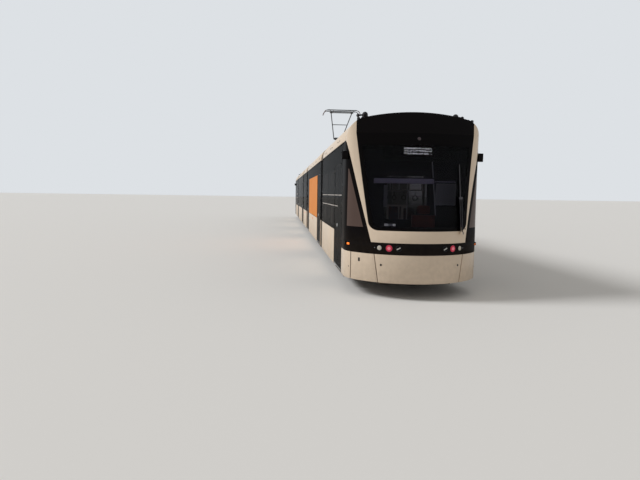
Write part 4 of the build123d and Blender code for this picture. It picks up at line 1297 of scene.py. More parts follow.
@dataclass
class Front:
    """The two fronts: shell, windscreen, lamps, display, wiper and small covers.

    Attributes:
        lamps: The name, place across and radius of each lamp.
        hood_reach: How far the hood's black reaches across, up to the roof's corner.
        hood_foot: The height at which the hood begins.
        screen_foot: Half of the dark opening's width at its foot.
        screen_head: The same at its head.
        clear_levels: The heights between which the windscreen is clear.
        frit: How far the black print reaches in from the glass's edge.
        screw: The place across and radius of the screw between the lamps.
        jack: The place across, height, inner and outer radius of the ringed cover under the lamps.
        plug: The place across, height and radius of the small cover low at the side.
        sensor: The height, inner and outer radius of the sensor over the windscreen.
        marker: The place across and height of the amber lamp at the side.
        socket: The same of the socket's cover.
        slot: The same of the pale slot behind the windscreen's foot.
        horns: The place across, foot, head and radius of the horns' feet.
        seam_x: Where the roof's fairing meets the front pillar.
        pod: The middle of the camera pod at +Y.
    """

    shop: Workshop
    lamps: tuple[tuple[str, float, float], ...] = (
        ("head", 0.764, 0.044),
        ("tail", 0.600, 0.062),
        ("signal", 0.436, 0.050),
    )
    lamp_level: float = 0.957
    hood_reach: float = 1.155
    hood_foot: float = 3.090
    screen_foot: float = 0.930
    screen_head: float = 1.155
    screen_levels: tuple[float, float] = (1.274, 3.100)
    clear_levels: tuple[float, float] = (1.330, 2.870)
    frit: float = 0.075
    screw: tuple[float, float] = (0.842, 0.009)
    jack: tuple[float, float, float, float] = (0.730, 0.640, 0.020, 0.026)
    plug: tuple[float, float, float] = (1.258, 0.541, 0.011)
    sensor: tuple[float, float, float] = (2.99, 0.030, 0.036)
    marker: tuple[float, float] = (1.268, 0.983)
    socket: tuple[float, float] = (-1.094, 0.706)
    slot: tuple[float, float] = (-0.585, 1.388)
    horns: tuple[tuple[float, float, float, float], ...] = (
        (1.115, 3.345, 3.400, 0.030),
        (1.03, 3.380, 3.405, 0.036),
    )
    seam_x: float = LEVEL.nose - 0.970
    display_x: float = 15.540
    display_half: float = 0.590
    display_levels: tuple[float, ...] = (2.806, 2.760, 2.710)
    display_columns: int = 38
    dot: float = 0.007
    dot_pitch: float = 0.014
    pod: Point = (LEVEL.nose - 0.850, LEVEL.half + 0.082, LEVEL.rail + 2.665)

    def shell(self) -> None:
        """Stands rounded, smoothly shaded copies in for the front's own nodes."""
        surround = self.shop.from_node("end_a_frame", Stock.white, 0.008)
        for way in (-1, 1):
            surround.cut((0, way * self.hood_reach, 0), (0, 1, 0))
        surround.cut((0, 0, self.hood_foot), (0, 0, 1))
        surround.repaint(Stock.black, lambda at, n: abs(at.y) < self.hood_reach and at.z > self.hood_foot)
        surround.repaint(Stock.abs_dark, lambda at, n: n.x < -0.2 and at.z > LEVEL.belt)
        self.shop.everywhere(surround, "end", "frame_dressed", "white_paint", "frame")
        skirt = self.shop.from_node("end_a_skirt", Stock.white, 0.006)
        self.shop.everywhere(skirt, "end", "skirt_dressed", "white_paint", "skirt")
        wiper = self.shop.from_node("end_a_wiper", Stock.wiper, 0.0015)
        wiper.repaint(Stock.white, lambda at, n: at.z < self.screen_levels[0])
        self.shop.everywhere(wiper, "end", "wiper_dressed", "black_paint", "wiper")
        black = self.shop.from_node("end_a_black_panels", Stock.black, 0.005)
        black.repaint(Stock.abs_dark, lambda at, n: at.z > LEVEL.crown - 0.03 and abs(at.y) > 0.8)
        self.shop.everywhere(black, "end", "black_panels_dressed", "black_paint", "black_panels")

    def windscreen(self) -> Shape:
        """Makes the windscreen: clear in the middle, with the black print round its rim."""
        shape = self.shop.from_node("end_a_windscreen", Stock.screen)
        low, high = self.screen_levels
        lean = (self.screen_head - self.screen_foot) / (high - low)
        for way in (-1, 1):
            shape.cut((LEVEL.nose, way * (self.screen_foot - self.frit), low), (0, 1, -way * lean))
        for level in self.clear_levels:
            shape.cut((LEVEL.nose, 0, level), (0, 0, 1))

        def in_print(at: Vector, normal: Vector) -> bool:
            """Tells whether a face lies in the black print."""
            edge = self.screen_foot + lean * (at.z - low) - self.frit
            return abs(at.y) > edge or not self.clear_levels[0] < at.z < self.clear_levels[1]

        shape.repaint(Stock.frit, in_print)
        return shape

    def lenses(self) -> Shape:
        """Makes the lamp lenses from the lamps' own solids, each in its colour."""
        shape = self.shop.from_node("end_a_lamps", Stock.reflector, 0.002)
        shape.repaint(Stock.red_lens, lambda at, n: 0.53 < abs(at.y) < 0.67)
        shape.repaint(Stock.smoked, lambda at, n: abs(at.y) < 0.5)
        shape.repaint(Stock.black, lambda at, n: abs(at.y) > 1.2)
        return shape

    def lamp(self, shape: Shape, skin: Skin, way: int, name: str, y: float, radius: float) -> None:
        """Adds the bezel and the domed lens of one lamp, on one side of the tram, to the fixtures."""
        domes = {"head": Stock.clear_lens, "tail": Stock.red_lens, "signal": Stock.smoked}
        at, normal = skin.front(way * y, self.lamp_level)
        shape.collar(at, normal, radius * 0.98, radius + 0.007, 0.005, Stock.abs_dark)
        rim = radius * 0.92
        dome = [(rim, 0.002), (rim * 0.8, 0.006), (rim * 0.4, 0.009), (0, 0.01)]
        shape.turned([(0, -0.01), (rim, -0.01), *dome], at, normal, domes[name], 24)
        if name == "tail":
            shape.button(at + normal * 0.008, normal, radius * 0.5, 0.003, Stock.red_core, 20)
        # a signal lamp gets a pale tilted bar in its smoked dome: a painted glint that stands in for a
        # highlight on the lens
        if name == "signal":
            bar = facing(at + normal * 0.008, normal) @ Matrix.Rotation(math.radians(28), 4, "X")
            shape.tile(bar, (-0.003, 0.003), (0.038, 0.011), Stock.abs_pale, 0.002)

    def fixtures(self, skin: Skin) -> Shape:
        """Makes the lamps' bezels and domes, the sensor, the round covers, the slot and the small bolts."""
        shape = Shape()
        for way in (-1, 1):
            for name, y, radius in self.lamps:
                self.lamp(shape, skin, way, name, y, radius)
            y, radius = self.screw
            shape.button(*skin.front(way * y, self.lamp_level), radius, 0.003, Stock.zinc, 12)
            y, z, inner, outer = self.jack
            at, normal = skin.front(way * y, z)
            shape.button(at, normal, inner, 0.002, Stock.abs_dark, 24)
            shape.collar(at, normal, inner, outer, 0.002, Stock.white)
            y, z, radius = self.plug
            shape.button(*skin.front(way * y, z), radius, 0.002, Stock.abs_dark, 16)
            y, z = self.marker
            place = facing(*skin.front(way * y, z))
            shape.tile(place, (-0.010, 0.004), (0.052, 0.026), Stock.rubber, 0.004)
            shape.tile(place, (-0.010, 0.011), (0.044, 0.019), Stock.amber_lens, 0.006)
        z, inner, outer = self.sensor
        at, normal = skin.front(0.0, z)
        shape.button(at, normal, inner, 0.006, Stock.smoked_pale, 24)
        shape.collar(at, normal, inner, outer, 0.004, Stock.abs_dark)
        place = facing(*skin.front(*self.socket))
        shape.tile(place, (-0.020, 0.002), (0.024, 0.038), Stock.abs_dark, 0.006)
        at, normal = skin.front(*self.slot)
        place = facing(at - normal * 0.022, normal)
        shape.tile(place, (-0.002, 0.002), (0.105, 0.022), Stock.abs_pale, 0.001)
        return shape

    def bulkhead(self) -> Shape:
        """Makes the dark wall over the cab's partition, which closes the roof's trough behind the hood."""
        shape = Shape()
        section = [(LEVEL.cab_back + 0.006, y, z) for y, z in outline(0.055, LEVEL.ceiling - 0.01, 10)]
        shape.plate(section, (0.022, 0, 0), Stock.abs_dark)
        return shape

    def horn_feet(self) -> Shape:
        """Makes the round feet that carry the horns on the roof's corner."""
        shape = Shape()
        for y, foot, head, radius in self.horns:
            tall, rim = head - foot, 0.008
            profile = [(0, 0), (radius, 0), (radius, tall - rim), (radius - rim, tall), (0, tall)]
            shape.turned(profile, (LEVEL.nose - 0.76, y, foot), (0, 0, 1), Stock.abs_dark, 20)
        return shape.mirror()

    def seam(self) -> Shape:
        """Makes the dark joint between the roof fairing and the front pillar."""
        shape = Shape()
        back = self.seam_x - 0.003
        outer = [(back, y, z) for y, z in outline(-0.0006, LEVEL.cant, 10) if y > 0.98 and z >= LEVEL.cant]
        inner = [(back, y, z) for y, z in outline(0.004, LEVEL.cant, 10) if y > 0.97 and z >= LEVEL.cant]
        for corners in zip(outer, outer[1:], inner[1:], inner):
            shape.plate(corners, (0.006, 0, 0), Stock.rubber)
        return shape.mirror()

    def display(self) -> Shape:
        """Makes the destination display's face: three rows of plain dots, which spell nothing."""
        shape = Shape()
        foot, head = self.display_levels[-1] - 0.035, self.display_levels[0] + 0.045
        face = self.display_x + 0.004
        low, high = (self.display_x, -self.display_half, foot), (face, self.display_half, head)
        shape.block(low, high, Stock.frit, 0.001)
        draw = random.Random(7)
        for level in self.display_levels:
            for line in range(2):
                for column in range(self.display_columns):
                    y, z = -0.26 + column * self.dot_pitch, level + line * self.dot_pitch
                    if column % 4 != 3 and draw.random() < 0.6:
                        shape.block((face, y, z), (face + 0.002, y + self.dot, z + self.dot), Stock.led)
        return shape

    def pods(self) -> Shape:
        """Makes the lens and the bright top edge of the rear-view pods."""
        shape = Shape()
        x, reach, z = self.pod
        shape.button((x - 0.058, reach - 0.035, z), (-1, 0, 0), 0.016, 0.004, Stock.smoked, 16)
        low, high = (x - 0.05, LEVEL.half, z + 0.078), (x + 0.02, reach - 0.008, z + 0.083)
        shape.block(low, high, Stock.stainless, 0.002)
        return shape.mirror()

    def build(self) -> None:
        """Makes both fronts."""
        self.shell()
        skin = Skin()
        self.shop.everywhere(self.windscreen(), "end", "windscreen_dressed", "dark_glass", "windscreen")
        self.shop.everywhere(self.lenses(), "end", "lenses", "lamp_lens", "lamps")
        self.shop.everywhere(self.fixtures(skin), "end", "front_fixtures", "lamp_lens")
        self.shop.everywhere(self.bulkhead(), "end", "hood_bulkhead", "black_paint")
        self.shop.everywhere(self.horn_feet(), "end", "horn_feet", "black_paint")
        self.shop.everywhere(self.seam(), "end", "pillar_seam", "bellows_rubber")
        self.shop.everywhere(self.display(), "end", "display_face", "lamp_lens")
        self.shop.everywhere(self.pods(), "end", "pod_lens", "lamp_lens")


@dataclass
class Cab:
    """The cab's insides: desk gear, screens, the blind and the seat's padding.

    Attributes:
        desk: The back edge and the height of the desk.
        screens: The place across and half width of each screen.
        post: The foot and head of the leaning post.
        wall_x: The cab's side of its partition's cladding.
        panel_depth: How thick the panels on it are.
        seat: The back edge and middle of the cab's seat.
        seat_lean: How far its back leans, in degrees.
    """

    shop: Workshop
    desk: tuple[float, float] = (15.480, 1.148)
    screens: tuple[tuple[float, float], ...] = ((-0.05, 0.16), (0.35, 0.19), (0.78, 0.14))
    lean: float = 28.0
    lever_y: float = 0.62
    blind_x: float = 15.44
    blind_levels: tuple[float, float] = (2.156, 2.252)
    post: tuple[Point, Point] = ((15.42, 0.430, 1.55), (15.10, 0.431, 2.60))
    wall_x: float = 14.80
    panel_depth: float = 0.025
    seat: tuple[float, float] = (14.820, 0.350)
    seat_lean: float = -3.5

    def desk_gear(self, shape: Shape) -> None:
        """Adds the desk's screens, lever, switches and microphone."""
        x, z = self.desk
        for y, half in self.screens:
            tilt = Matrix.Translation((x + 0.16, y, z)) @ Matrix.Rotation(math.radians(self.lean), 4, "Y")
            shape.block((-0.02, -half, 0.01), (0.02, half, 0.20), Stock.abs_dark, 0.006, tilt)
            low, high = (-0.0225, -half + 0.015, 0.03), (-0.0195, half - 0.015, 0.185)
            shape.block(low, high, Stock.desk_screen, place=tilt)
        lever = (x + 0.07, self.lever_y, z)
        profile = [(0, 0), (0.035, 0), (0.035, 0.01), (0.012, 0.02), (0.010, 0.09), (0, 0.09)]
        shape.turned(profile, lever, (0, 0, 1), Stock.abs_dark, 16)
        shape.ball((x + 0.07, self.lever_y, z + 0.10), 0.022, Stock.rubber)
        for n in range(9):
            at = (x + 0.05 + 0.04 * (n % 3), 0.12 + 0.04 * (n // 3), z)
            finish = (Stock.stainless, Stock.abs_pale, Stock.red_lens)[n % 3]
            shape.button(at, (0, 0, 1), 0.011, 0.006, finish, 12)
        stem = [(x + 0.1, -0.35, z), (x + 0.09, -0.33, z + 0.2), (x + 0.02, -0.28, z + 0.3)]
        shape.pipe(stem, 0.006, Stock.abs_dark)

    def gear(self) -> Shape:
        """Makes the desk's gear, the blind, the leaning post and the panels on the partition."""
        shape = Shape()
        self.desk_gear(shape)
        near, far = self.blind_x - 0.01, self.blind_x + 0.01
        foot, head = self.blind_levels
        shape.block((near, -0.81, foot), (far, 0.37, head), Stock.blind, 0.006)
        shape.block((near, 0.37, foot + 0.034), (far, 0.80, head - 0.046), Stock.blind, 0.004)
        left, right = ((self.blind_x, y, head + 0.01) for y in (-0.83, 0.83))
        shape.rod(left, right, 0.012, Stock.abs_dark)
        lower, upper = self.post
        shape.rod(upper, lower, 0.013, Stock.abs_pale)
        face, wall = self.wall_x - self.panel_depth, self.wall_x
        shape.block((face, 0.62, 1.731), (wall, 1.06, 2.187), Stock.laminate, 0.01)
        shape.block((face, -0.47, 1.68), (wall, -0.39, 2.136), Stock.abs_pale, 0.01)
        shape.block((wall, -0.98, 0.40), (wall + 0.22, -0.66, 1.35), Stock.partition, 0.015)
        return shape

    def padding(self) -> Shape:
        """Makes the cushion, back and headrest of the cab's seat."""
        shape = Shape()
        x, y = self.seat
        low, high = (x + 0.10, y - 0.245, 0.865), (x + 0.445, y + 0.245, 0.950)
        shape.pad(low, high, Stock.driver_cloth, 0.016)
        lean = Matrix.Rotation(math.radians(self.seat_lean), 4, "Y")
        lean = Matrix.Translation((x + 0.105, y, 0.93)) @ lean
        shape.pad((-0.03, -0.235, 0.02), (0.045, 0.235, 0.60), Stock.driver_cloth, 0.016, lean)
        shape.pad((-0.03, -0.14, 0.62), (0.035, 0.14, 0.80), Stock.driver_cloth, 0.014, lean)
        return shape

    def build(self) -> None:
        """Makes both cabs."""
        self.shop.everywhere(self.gear(), "end", "cab_gear", "seat_plastic")
        for body, end in zip(car_names("end"), End):
            name = f"{body}_driver_padding"
            piece = self.shop.publish(self.padding(), name, body, "seat_plastic", end.turn, sharp=60)


@dataclass
class Saloon:
    """Seats with their pads, screens, poles, rails and lights.

    Attributes:
        screen_gap: How far a draught screen stands from its door opening.
        screen_reach: How far from the tram's middle it begins.
        pole: The reach of a pole's faces round its own middle.
        partition: The span of the cab's partition.
        cab_seat: The box that holds the cab's seat: its spans along, across and up.
        aisle: Half of the aisle's width on the floor, and on a podium.
        seat_top: The height of a seat over the floor, and over a podium.
        slant: How far a seat's back leans, as a run over a rise.
        pad_gap: How far a pad lies inside its seat's edge.
        crown: How far the pads swell.
        rail_pitch: About how far apart their drop rods stand.
        loop: The inner and outer radius of a hanging loop.
    """

    shop: Workshop
    screen_gap: float = 0.045
    screen_top: float = 1.885
    screen_reach: float = 0.445
    pole_y: float = 0.425
    pole: float = 0.0195
    partition: tuple[float, float] = (14.70, 14.78)
    cab_seat: tuple[Point, Point, Point] = ((14.80, 15.30), (0.10, 0.60), (0.79, 1.60))
    aisle: tuple[float, float] = (0.405, 0.60)
    seat_top: tuple[float, float] = (0.45, 0.20)
    seat_depth: float = 0.35
    slant: tuple[float, float] = (0.12, 0.72)
    pad_gap: float = 0.02
    crown: float = 0.010
    rail_level: float = 2.05
    rail_pitch: float = 1.1
    loop: tuple[float, float] = (0.045, 0.062)
    light_y: float = 0.62

    def fittings(self, car: str, plan: CarPlan) -> None:
        """Dresses the fittings: seat shells, glass screens, steel poles and the cab's panels."""
        shape = self.shop.from_node(f"{car_names(car)[0]}_fittings", Stock.abs_pale, 0.004)
        for start, end in plan.doors:
            for x in (start - self.screen_gap, end + self.screen_gap):

                def on_screen(at: Vector, normal: Vector) -> bool:
                    """Tells whether a face belongs to the draught screen."""
                    return abs(at.x - x) < 0.03 and at.z < self.screen_top and abs(at.y) > self.screen_reach

                def on_pole(at: Vector, normal: Vector) -> bool:
                    """Tells whether a face belongs to the pole beside it."""
                    return abs(at.x - x) < 0.03 and abs(abs(at.y) - self.pole_y) < self.pole

                shape.repaint(Stock.clear, on_screen)
                shape.repaint(Stock.stainless, on_pole)
        if car == "end":
            near, far = self.partition
            (back, front), (right, left), (foot, head) = self.cab_seat

            def on_seat(at: Vector, normal: Vector) -> bool:
                """Tells whether a face belongs to the cab's seat."""
                return back < at.x < front and right < at.y < left and foot < at.z < head

            shape.repaint(Stock.partition, lambda at, n: near < at.x < far)
            shape.repaint(Stock.abs_dark, lambda at, n: at.x > far)
            shape.repaint(Stock.driver_cloth, on_seat)
            # the cab's fittings above 2.6 m are painted near-black: painted shade for the dim top of the cab
            shape.repaint(Stock.frit, lambda at, n: at.x > far and at.z > 2.6)
        self.shop.everywhere(shape, car, "fittings_dressed", "seat_plastic", "fittings")

    def pads(self, plan: CarPlan) -> Shape:
        """Makes the seat and back pads of all the double seats of a car."""
        shape = Shape()
        for front, way, raised in plan.seats:
            aisle = self.aisle[raised]
            top = (LEVEL.podium if raised else LEVEL.floor) + self.seat_top[raised]
            back = front - way * self.seat_depth
            slant = Matrix.Rotation(-way * math.atan2(*self.slant), 4, "Y")
            x0, x1 = sorted((back + way * 0.015, front - way * 0.01))
            low, high = sorted((-way * 0.012, way * 0.045))
            for near, far in split(aisle, LEVEL.half - LEVEL.wall, 2):
                y0, y1 = near + self.pad_gap, far - self.pad_gap
                shape.pad((x0, y0, top - 0.012), (x1, y1, top + 0.045), Stock.moquette, self.crown)
                place = Matrix.Translation((back, (y0 + y1) / 2, top)) @ slant
                half = (y1 - y0) / 2
                shape.pad((low, -half, 0.06), (high, half, 0.68), Stock.moquette, self.crown, place)
        return shape.mirror()

    def rails(self, plan: CarPlan) -> Shape:
        """Makes the grab rails with their drop rods and hanging loops, and the ceiling's light strips."""
        shape = Shape()
        start, end = plan.span[0] + 0.35, plan.span[1] - 0.30
        y, level = self.pole_y, self.rail_level
        shape.rod((start, y, level), (end, y, level), 0.016, Stock.stainless)
        inner, outer = self.loop
        count = max(2, round((end - start) / self.rail_pitch))
        for n in range(count + 1):
            x = start + (end - start) * n / count
            shape.rod((x, y, level), (x, y, LEVEL.ceiling), 0.012, Stock.stainless, 10)
            if n < count:
                hang = x + (end - start) / count / 2
                low, high = (hang - 0.012, y - 0.004, level - 0.13), (hang + 0.012, y + 0.004, level + 0.02)
                shape.block(low, high, Stock.rubber, 0.002)
                shape.collar((hang, y, level - 0.18), (1, 0, 0), inner, outer, 0.009, Stock.abs_dark)
        low = (start, self.light_y - 0.05, LEVEL.ceiling - 0.022)
        high = (end, self.light_y + 0.05, LEVEL.ceiling - 0.001)
        shape.block(low, high, Stock.ceiling_lamp, 0.008)
        return shape.mirror()

    def build(self) -> None:
        """Makes the saloons."""
        for car, plan in PLANS.items():
            self.fittings(car, plan)
            self.shop.everywhere(self.rails(plan), car, "grab_rails", "seat_plastic")
            for body, end in zip(car_names(car), End):
                name = f"{body}_seat_pads"
                piece = self.shop.publish(self.pads(plan), name, body, "seat_plastic", end.turn, sharp=60)


@dataclass
class Gangways:
    """The four folded bellows and the floor plates inside them.

    Attributes:
        folds: How many folds each bellows has.
        crest: How far inside the body's skin the folds reach.
        valley: The same for the bottom of the grooves.
        lining: The same for the inner face.
        hem: How far every other point of the lining lies deeper.
        fold: One fold: how far along it each point lies, and how near its groove, both from 0 to 1.
        hinges: The place of each pivot, inner and outer.
        half: Half of a bellows' length.
        level: The height at which a bend would be reckoned; not used.
    """

    shop: Workshop
    folds: int = 10
    crest: float = 0.036
    valley: float = 0.078
    lining: float = 0.134
    hem: float = 0.012
    fold: tuple[tuple[float, float], ...] = (
        (0.0, 1.0), (0.16, 0.35), (0.30, 0.05), (0.5, 0.0), (0.70, 0.05), (0.84, 0.35),
    )
    hinges: tuple[float, float] = (1.75, 9.80)
    half: float = 0.33
    level: float = 1.9

    def bellows(self, start: float, end: float) -> Shape:
        """Makes one bellows: a closed profile of folds carried round the body's cross-section.

        Args:
            start: Its lower end, along X.
            end: Its upper end.

        Returns:
            The shape.
        """
        shape = Shape()
        pitch, groove = (end - start) / self.folds, self.valley - self.crest
        profile = []
        for n in range(self.folds):
            x = start + n * pitch
            profile += [(x + share * pitch, self.crest + groove * depth) for share, depth in self.fold]
        profile.append((end, self.valley))
        for n in range(2 * self.folds + 1):
            profile.append((end - n * pitch / 2, self.lining + self.hem * (n % 2)))
        rings = [[(x, y, z) for y, z in outline(inset, LEVEL.skirt + 0.004, 5)] for x, inset in profile]
        verts = [shape.mesh.verts.new(point) for point in rings[0]]
        edges = [shape.mesh.edges.new(two) for two in zip(verts, verts[1:])]
        for ring in rings[1:] + rings[:1]:
            grown = bmesh.ops.extrude_edge_only(shape.mesh, edges=edges)["geom"]
            edges = [item for item in grown if isinstance(item, bmesh.types.BMEdge)]
            fresh = [item for item in grown if isinstance(item, bmesh.types.BMVert)]
            for vert, point in zip(fresh, ring):
                vert.co = point
        bmesh.ops.remove_doubles(shape.mesh, verts=list(shape.mesh.verts), dist=1e-6)
        feet = [side for side in shape.mesh.edges if side.is_boundary]
        bmesh.ops.holes_fill(shape.mesh, edges=feet, sides=0)
        shape.dress(shape.mesh.verts, Stock.bellows)
        return shape

    def build(self) -> None:
        """Makes the four bellows and paints the floor plates."""
        for end in End:
            mid = f"mid_{end.value}"
            pairs = {"inner": ("centre", mid), "outer": (mid, f"end_{end.value}")}
            for hinge, (which, (first, second)) in zip(self.hinges, pairs.items()):
                near, far = hinge - self.half, hinge + self.half
                node = f"{mid}_{which}_bellows"
                folds, name = self.bellows(near, far), f"{node}_folded"
                piece = self.shop.publish(folds, name, None, "bellows_rubber", end.turn, [node], 50)
                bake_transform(piece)
            self.shop.paint(f"{mid}_hinge_plates", Stock.plate)


@dataclass
class RoofKit:
    """What lies on the roofs beside the housings: ducts, lids, lifting eyes and aerials.

    Attributes:
        duct_y: The inner side of the cable ducts.
        duct: The width and height of a duct.
        fan_ring: The inner and outer radius of the ring round a fan.
        eye: The inner and outer radius of a lifting eye.
        hoses: The places across of the hoses between two housings.
        hose: The radius of a hose, and of its collars.
    """

    shop: Workshop
    duct_y: float = 0.93
    duct: tuple[float, float] = (0.10, 0.06)
    clip_pitch: float = 0.7
    fan_ring: tuple[float, float] = (0.252, 0.285)
    eye: tuple[float, float] = (0.022, 0.036)
    hoses: tuple[float, float] = (0.18, 0.34)
    hose_rise: float = 0.14
    hose: tuple[float, float] = (0.022, 0.040)
    aerial_x: float = 12.5

    def ducts(self, shape: Shape, plan: CarPlan) -> None:
        """Adds the cable duct along a car, with its clips."""
        start, end = plan.span[0] + 0.10, plan.span[1] - 0.10
        wide, tall = self.duct
        low, high = (start, self.duct_y, LEVEL.deck), (end, self.duct_y + wide, LEVEL.deck + tall)
        shape.block(low, high, Stock.housing, 0.006)
        for n in range(int((end - start) / self.clip_pitch)):
            x = start + (n + 0.5) * self.clip_pitch
            low = (x - 0.02, self.duct_y - 0.012, LEVEL.deck)
            high = (x + 0.02, self.duct_y + wide + 0.012, LEVEL.deck + tall + 0.006)
            shape.block(low, high, Stock.zinc, 0.003)

    def housing(self, shape: Shape, unit: RoofUnit) -> None:
        """Adds a housing's lifting eyes, and its lid or the rings round its fans."""
        top = LEVEL.deck + unit.tall
        for x in (unit.start + 0.12, unit.end - 0.12):
            shape.collar((x, unit.half - 0.13, top + 0.035), (0, 1, 0), *self.eye, 0.010, Stock.zinc)
            shape.button((x, unit.half - 0.13, top), (0, 0, 1), 0.030, 0.005, Stock.zinc, 12)
        for middle in unit.fan_places():
            shape.collar((middle, 0, top), (0, 0, 1), *self.fan_ring, 0.008, Stock.zinc)
        if not unit.fans:
            near, far = unit.start + 0.22, unit.end - 0.22
            low, high = (near, 0.06, top - 0.002), (far, unit.half - 0.22, top + 0.012)
            shape.block(low, high, Stock.housing, 0.005)
            for x in (unit.start + 0.30, (unit.start + unit.end) / 2, unit.end - 0.30):
                shape.button((x, unit.half - 0.25, top + 0.012), (0, 0, 1), 0.012, 0.004, Stock.zinc, 8)
            shape.block((near, 0.0, top - 0.002), (far, 0.02, top + 0.006), Stock.rubber, 0.002)

    def kit(self, car: str, plan: CarPlan) -> Shape:
        """Makes a car's cable ducts, the lids and eyes of its housings and the hoses between them."""
        shape = Shape()
        self.ducts(shape, plan)
        for unit in plan.units:
            self.housing(shape, unit)
        thin, thick = self.hose
        z = LEVEL.deck + self.hose_rise
        for first, second in zip(plan.units, plan.units[1:]):
            near, far = first.end, second.start
            for y in self.hoses:
                shape.rod((near - 0.02, y, z), (far + 0.02, y, z), thin, Stock.rubber)
                for x in (near + 0.004, far - 0.004):
                    shape.collar((x, y, z), (1, 0, 0), thin, thick, 0.010, Stock.zinc)
        shape.mirror()
        if car == "end":
            profile = [(0, 0), (0.11, 0), (0.11, 0.015), (0.085, 0.05), (0.045, 0.085), (0, 0.095)]
            shape.turned(profile, (self.aerial_x, 0, LEVEL.deck), (0, 0, 1), Stock.abs_pale, 24)
        return shape

    def build(self) -> None:
        for car, plan in PLANS.items():
            self.shop.everywhere(self.kit(car, plan), car, "roof_kit", "roof_paint")


@dataclass
class RunningGear:
    """Bogies and wheelsets with their bolts, dampers, pipes and brake gear.

    Attributes:
        cap_y: The outer face of the axle boxes.
        damper_y: How far out the dampers lie.
        beside: How far from its axle the gear beside a wheel lies.
        hatch: The place, across and height of the bolted plates at the ends of the side gear.
        hub: The reach across, ring and bolt radius of the inner bolts of a wheel, and how many there are.
        cover: The same for those of its hub's cover.
        tread: How far from the axle the tread lies.
    """

    shop: Workshop
    axle_z: float = 0.328
    wheelbase: float = 1.80
    cap_y: float = 0.957
    damper_y: float = 0.975
    beside: float = 0.335
    hatch: Point = (0.475, 1.112, 0.3555)
    hub: tuple[float, float, float, int] = (0.766, 0.165, 0.014, 8)
    cover: tuple[float, float, float, int] = (0.811, 0.085, 0.010, 6)
    tread: float = 0.29

    def beside_axle(self, shape: Shape, way: int) -> None:
        """Adds the gear round one axle: cap, sand pipe, damper and brake block."""
        x, across = way * self.wheelbase / 2, (0, 1, 0)
        shape.button((x, self.cap_y, self.axle_z), across, 0.078, 0.008, Stock.zinc, 24)
        shape.bolts((x, self.cap_y + 0.008, self.axle_z), across, 0.060, 6, 0.008, Stock.wheel)
        wheel = x + way * self.beside
        hose = [(wheel, 0.86, 0.47), (wheel + way * 0.02, 0.80, 0.36), (wheel - way * 0.02, 0.755, 0.13)]
        shape.pipe(hose, 0.012, Stock.rubber, 10)
        shape.block((wheel - 0.03, 0.83, 0.44), (wheel + 0.03, 0.875, 0.50), Stock.bogie, 0.006)
        y = self.damper_y
        shape.rod((x - way * 0.16, y, 0.455), (x - way * 0.50, y, 0.47), 0.026, Stock.abs_dark, 14)
        shape.rod((x - way * 0.12, y, 0.453), (x - way * 0.20, y, 0.457), 0.012, Stock.stainless, 10)
        for step in (0.12, 0.52):
            shape.button((x - way * step, y - 0.010, 0.46), across, 0.030, 0.018, Stock.bogie, 16)
        caliper = x - way * self.beside
        low, high = (caliper - 0.035, 0.70, 0.27), (caliper + 0.035, 0.80, 0.40)
        shape.block(low, high, Stock.bogie, 0.010)

    def gear(self) -> Shape:
        """Makes the small gear of a bogie at the origin: caps, dampers, sand pipes and brake blocks."""
        shape = Shape()
        for way in (-1, 1):
            self.beside_axle(shape, way)
        for n in range(5):
            at = (-0.40 + n * 0.20, 0.7885, LEVEL.rail + 0.07)
            shape.button(at, (0, 1, 0), 0.014, 0.006, Stock.zinc, 6)
        x, y, z = self.hatch
        for way in (1, -1):
            shape.bolts((way * x, y, z), (way, 0, 0), 0.085, 6, 0.009, Stock.zinc)
        return shape.mirror()

    def wheelset(self, node: str) -> None:
        """Dresses one wheelset: dark steel, bright tread and rings of bolts on each wheel."""
        shape = self.shop.from_node(node, Stock.wheel)
        low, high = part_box(node)
        at = (Vector(low) + Vector(high)) / 2

        def on_tread(place: Vector, normal: Vector) -> bool:
            """Tells whether a face lies on the tread."""
            return math.hypot(place.x - at.x, place.z - at.z) > self.tread and abs(normal.y) < 0.6

        shape.repaint(Stock.tread, on_tread)
        for way in (-1, 1):
            for reach, ring, bolt, count in (self.hub, self.cover):
                shape.bolts((at.x, way * reach, at.z), (0, way, 0), ring, count, bolt, Stock.zinc)
        self.shop.publish(shape, f"{node}_dressed", node, "wheel_steel", replaces=[node], sharp=28)

    def build(self) -> None:
        """Dresses the bogies and wheelsets."""
        for car, plan in PLANS.items():
            if plan.bogie is None:
                continue
            for name, end in zip(car_names(car), End):
                body = self.shop.from_node(f"{name}_bogie", Stock.bogie, 0.006)
                self.shop.publish(
                    body, f"{name}_bogie_dressed", name, "bogie_paint", replaces=[f"{name}_bogie"]
                )
                move = Matrix.Translation((end.sign * plan.bogie, 0, 0))
                self.shop.publish(self.gear(), f"{name}_bogie_gear", name, "bogie_paint", move)
                for side in ("front", "rear"):
                    self.wheelset(f"wheelset_{name}_{side}")


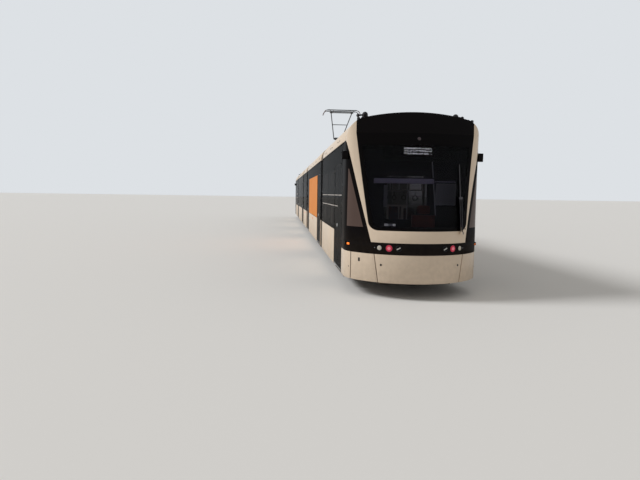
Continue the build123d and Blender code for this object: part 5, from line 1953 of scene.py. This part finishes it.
@dataclass
class Collector:
    """The current collector with its insulators, springs, strips and braids.

    Attributes:
        foot: How far along and across from the base's middle the insulators stand.
        strip_y: How far from the middle the carbon strips reach.
        horn_y: How far from the middle the horns begin.
        braid: How far along and across from the head's middle the braids end.
    """

    shop: Workshop
    x: float = 3.75
    pivot_z: float = 3.478
    spring_y: float = 0.24
    foot: tuple[float, float] = (0.42, 0.38)
    strip_y: float = 0.53
    horn_y: float = 0.60
    braid: tuple[float, float] = (0.17, 0.36)
    braid_radius: float = 0.006

    def spring(self, base: Shape, way: int) -> None:
        """Adds one raising spring with its rod and its seat."""
        x, y, z = self.x, way * self.spring_y, self.pivot_z
        start, end = (x + 0.30, y, z - 0.035), (x + 0.03, y, z - 0.02)
        base.coil(start, end, 0.030, 0.006, 12, Stock.zinc)
        base.rod((x + 0.40, y, z - 0.037), end, 0.010, Stock.zinc, 10)
        low, high = (x - 0.03, y - 0.02, z - 0.06), (x + 0.03, y + 0.02, z - 0.005)
        base.block(low, high, Stock.collector, 0.005)

    def base(self) -> None:
        """Dresses the base frame: insulators, springs, foot bolts and the damper's block."""
        base = self.shop.from_node("collector_base", Stock.collector, 0.002)
        base.repaint(Stock.insulator, lambda at, n: at.z < self.pivot_z - 0.115)
        along, across = self.foot
        for way in (-1, 1):
            self.spring(base, way)
            for step in (-along, along):
                at = (self.x + step, way * across, self.pivot_z - 0.060)
                base.bolts(at, (0, 0, 1), 0.022, 4, 0.007, Stock.zinc)
        low = (self.x - 0.36, -0.09, self.pivot_z - 0.062)
        high = (self.x - 0.17, 0.07, self.pivot_z - 0.046)
        base.block(low, high, Stock.collector, 0.004)
        node = "collector_base"
        self.shop.publish(base, f"{node}_dressed", "mid_a", "collector_paint", replaces=[node])

    def head(self) -> None:
        """Dresses the contact head: carbon strips, insulating horns and the braids that carry the current."""
        node = "collector_head"
        head = self.shop.from_node(node, Stock.alloy, 0.002)
        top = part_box(node)[1][2]
        head.repaint(Stock.carbon, lambda at, n: at.z > top - 0.034 and abs(at.y) < self.strip_y)
        head.repaint(Stock.insulator, lambda at, n: at.z < top - 0.03 and abs(at.y) > self.horn_y)
        along, across = self.braid
        for way in (-1, 1):
            y = way * across
            for step in (-along, along):
                hang = [(0.15, 0.09), (0.5, 0.10), (1.0, 0.036)]
                points = [(self.x + step * share, y, top - drop) for share, drop in hang]
                head.pipe(points, self.braid_radius, Stock.copper, 8)
        self.shop.publish(head, f"{node}_dressed", node, "collector_alloy", replaces=[node])

    def build(self) -> None:
        """Dresses the collector."""
        self.base()
        for part in ("lower_arm", "upper_arm"):
            self.shop.refine(f"collector_{part}", Stock.collector)
        self.head()


def main() -> None:
    """Builds the studio and every sub-assembly in order."""
    logging.basicConfig(level=logging.INFO, format="%(message)s")
    Studio().build()
    shop = Workshop()
    for assembly in (Bodywork, Front, Cab, Saloon, Gangways, RoofKit, RunningGear, Collector):
        assembly(shop).build()
        LOG.info("%s is done", assembly.__name__)
    LOG.info("%d pieces", shop.made)


if __name__ == "__main__":
    main()
